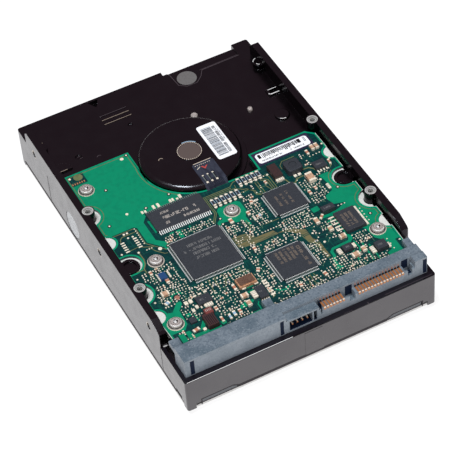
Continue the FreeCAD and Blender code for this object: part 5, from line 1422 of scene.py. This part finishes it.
def deck_edge_glints():
    """Painted highlights along the edges of the bosses at the right of the deck."""
    edge_glints = Piece("deck_edge_glints", TIN_AND_GLINT)
    edge_glints.ribbon([(43.4, 41.3), (47.2, 41.3)], 0.26, 20.26, 20.33)
    edge_glints.ribbon([(42.8, 39.3), (43.5, 38.6), (47.2, 38.6)], 0.32, 20.26, 20.33)
    edge_glints.ribbon(arc(42.0, 26.6, 2.8, 225, 275, 6), 0.26, 20.24, 20.32)
    edge_glints.ribbon(arc(47.9, 56.6, 2.45, 100, 160, 6), 0.24, 21.68, 21.74)
    edge_glints.ribbon(arc(47.9, 56.6, 1.7, 200, 250, 4), 0.3, 21.68, 21.74)
    edge_glints.make()


def shelf_edge_glints():
    """Faint painted highlights along the edges of the lower shelf behind the deck, and along the left rail.
    """
    edges = Piece("shelf_edge_glints", FAINT_GLINT)
    shelf = [(13.7, 71.2), (14.4, 70.2), (14.9, 62.9), (17.6, 60.7), (22.1, 60.7), (25.0, 63.2), (27.0, 66.3),
             (43.8, 66.5)]
    edges.ribbon(shelf, 0.22, DECK, DECK + 0.03)
    edges.ribbon([(26.4, 67.3), (43.8, 67.6)], 0.18, 18.9, 18.93)
    edges.ribbon([(-47.8, 63.0), (-47.8, 46.0)], 0.15, DECK, DECK + 0.1)
    edges.make()


finish_cad_nodes()
copper_under_mask()
chip_leads()
placed_parts()
scattered_parts()
ringed_vias()
red_block()
copper_spot()
tinned_ends()
small_chip_feet()
chip_print()
label_print()
contact_tips()
connector_recesses()
flex_contacts()
dome_details()
hole_rings()
screw_faces()
side_glints()
cover_joint_shadow()
front_rim()
parting_lines()
deck_bars()
deck_edge_glints()
shelf_edge_glints()


# ---------------------------------------------------------------- studio

def photo_camera():
    """Long lens above the near left corner, aimed a little off the object's origin."""
    azimuth, elevation, roll = math.radians(-23.62), math.radians(46.27), math.radians(-5.23)
    distance, aside, lift = 789.37, 1.863, 2.282
    back = Vector((math.sin(azimuth) * math.cos(elevation), -math.cos(azimuth) * math.cos(elevation),
                   math.sin(elevation)))
    level = (-back).cross(Vector((0, 0, 1))).normalized()
    upright = level.cross(-back)
    right = math.cos(roll) * level + math.sin(roll) * upright
    up = -math.sin(roll) * level + math.cos(roll) * upright
    data = bpy.data.cameras.new("camera")
    data.sensor_width = 36.0
    data.lens = 164.25
    data.clip_start = 0.05
    data.clip_end = 20.0
    camera = bpy.data.objects.new("camera", data)
    place = (back * distance + right * aside + up * lift) * MM
    camera.matrix_world = Matrix.Translation(place) @ Matrix((right, up, back)).transposed().to_4x4()
    bpy.context.scene.collection.objects.link(camera)
    bpy.context.scene.camera = camera


def floor_finish():
    pale = Finish("floor_pale", (0.2, 0.2, 0.2, 1), 0.9)
    pale.speckle(60, (0.21, 0.21, 0.21, 1), 0.4)
    pale.shader.inputs["Emission Color"].default_value = (1, 1, 1, 1)
    pale.shader.inputs["Emission Strength"].default_value = 0.85
    pale.shader.inputs["Specular IOR Level"].default_value = 0.0
    return pale.material


def floor():
    size = 6.0
    mesh = bpy.data.meshes.new("floor")
    corners = [(-size, -size, 0), (size, -size, 0), (size, size, 0), (-size, size, 0)]
    mesh.from_pydata(corners, [], [(0, 1, 2, 3)])
    mesh.materials.append(floor_finish())
    made = bpy.data.objects.new("floor", mesh)
    made.location.z = -0.0002
    bpy.context.scene.collection.objects.link(made)


def soft_light(name, place, size, power, mirrored, colour=(1, 1, 1)):
    """A square lamp aimed at the object; only a mirrored one shows up in glossy faces."""
    data = bpy.data.lights.new(name, "AREA")
    data.shape = "RECTANGLE"
    data.size = size
    data.size_y = size
    data.energy = power
    data.color = colour
    lamp = bpy.data.objects.new(name, data)
    lamp.location = place
    lamp.rotation_euler = (-Vector(place)).to_track_quat("-Z", "Y").to_euler()
    lamp.visible_glossy = mirrored
    bpy.context.scene.collection.objects.link(lamp)


def studio_world():
    """Dim room for reflections and fill, plain white behind the object for the camera."""
    world = bpy.data.worlds.new("studio")
    world.use_nodes = True
    tree = world.node_tree
    room = tree.nodes["Background"]
    room.inputs["Color"].default_value = (1.0, 0.66, 0.86, 1)
    room.inputs["Strength"].default_value = 0.105
    white = tree.nodes.new("ShaderNodeBackground")
    white.inputs["Color"].default_value = (0.97, 0.97, 0.97, 1)
    rays = tree.nodes.new("ShaderNodeLightPath")
    mix = tree.nodes.new("ShaderNodeMixShader")
    tree.links.new(rays.outputs["Is Camera Ray"], mix.inputs["Fac"])
    tree.links.new(room.outputs[0], mix.inputs[1])
    tree.links.new(white.outputs[0], mix.inputs[2])
    tree.links.new(mix.outputs[0], tree.nodes["World Output"].inputs["Surface"])
    bpy.context.scene.world = world
    bpy.context.scene.view_settings.view_transform = "Standard"


photo_camera()
floor()
soft_light("overhead", (-0.3, -0.15, 1.45), 0.5, 15, False)
soft_light("fill_left", (-1.3, -0.9, 0.9), 0.8, 5, False)
soft_light("fill_front", (0.3, -1.5, 0.9), 0.8, 13, False)
soft_light("glint_above", (-0.35, -0.1, 1.45), 0.35, 8, True, (0.82, 0.93, 1.0))
studio_world()
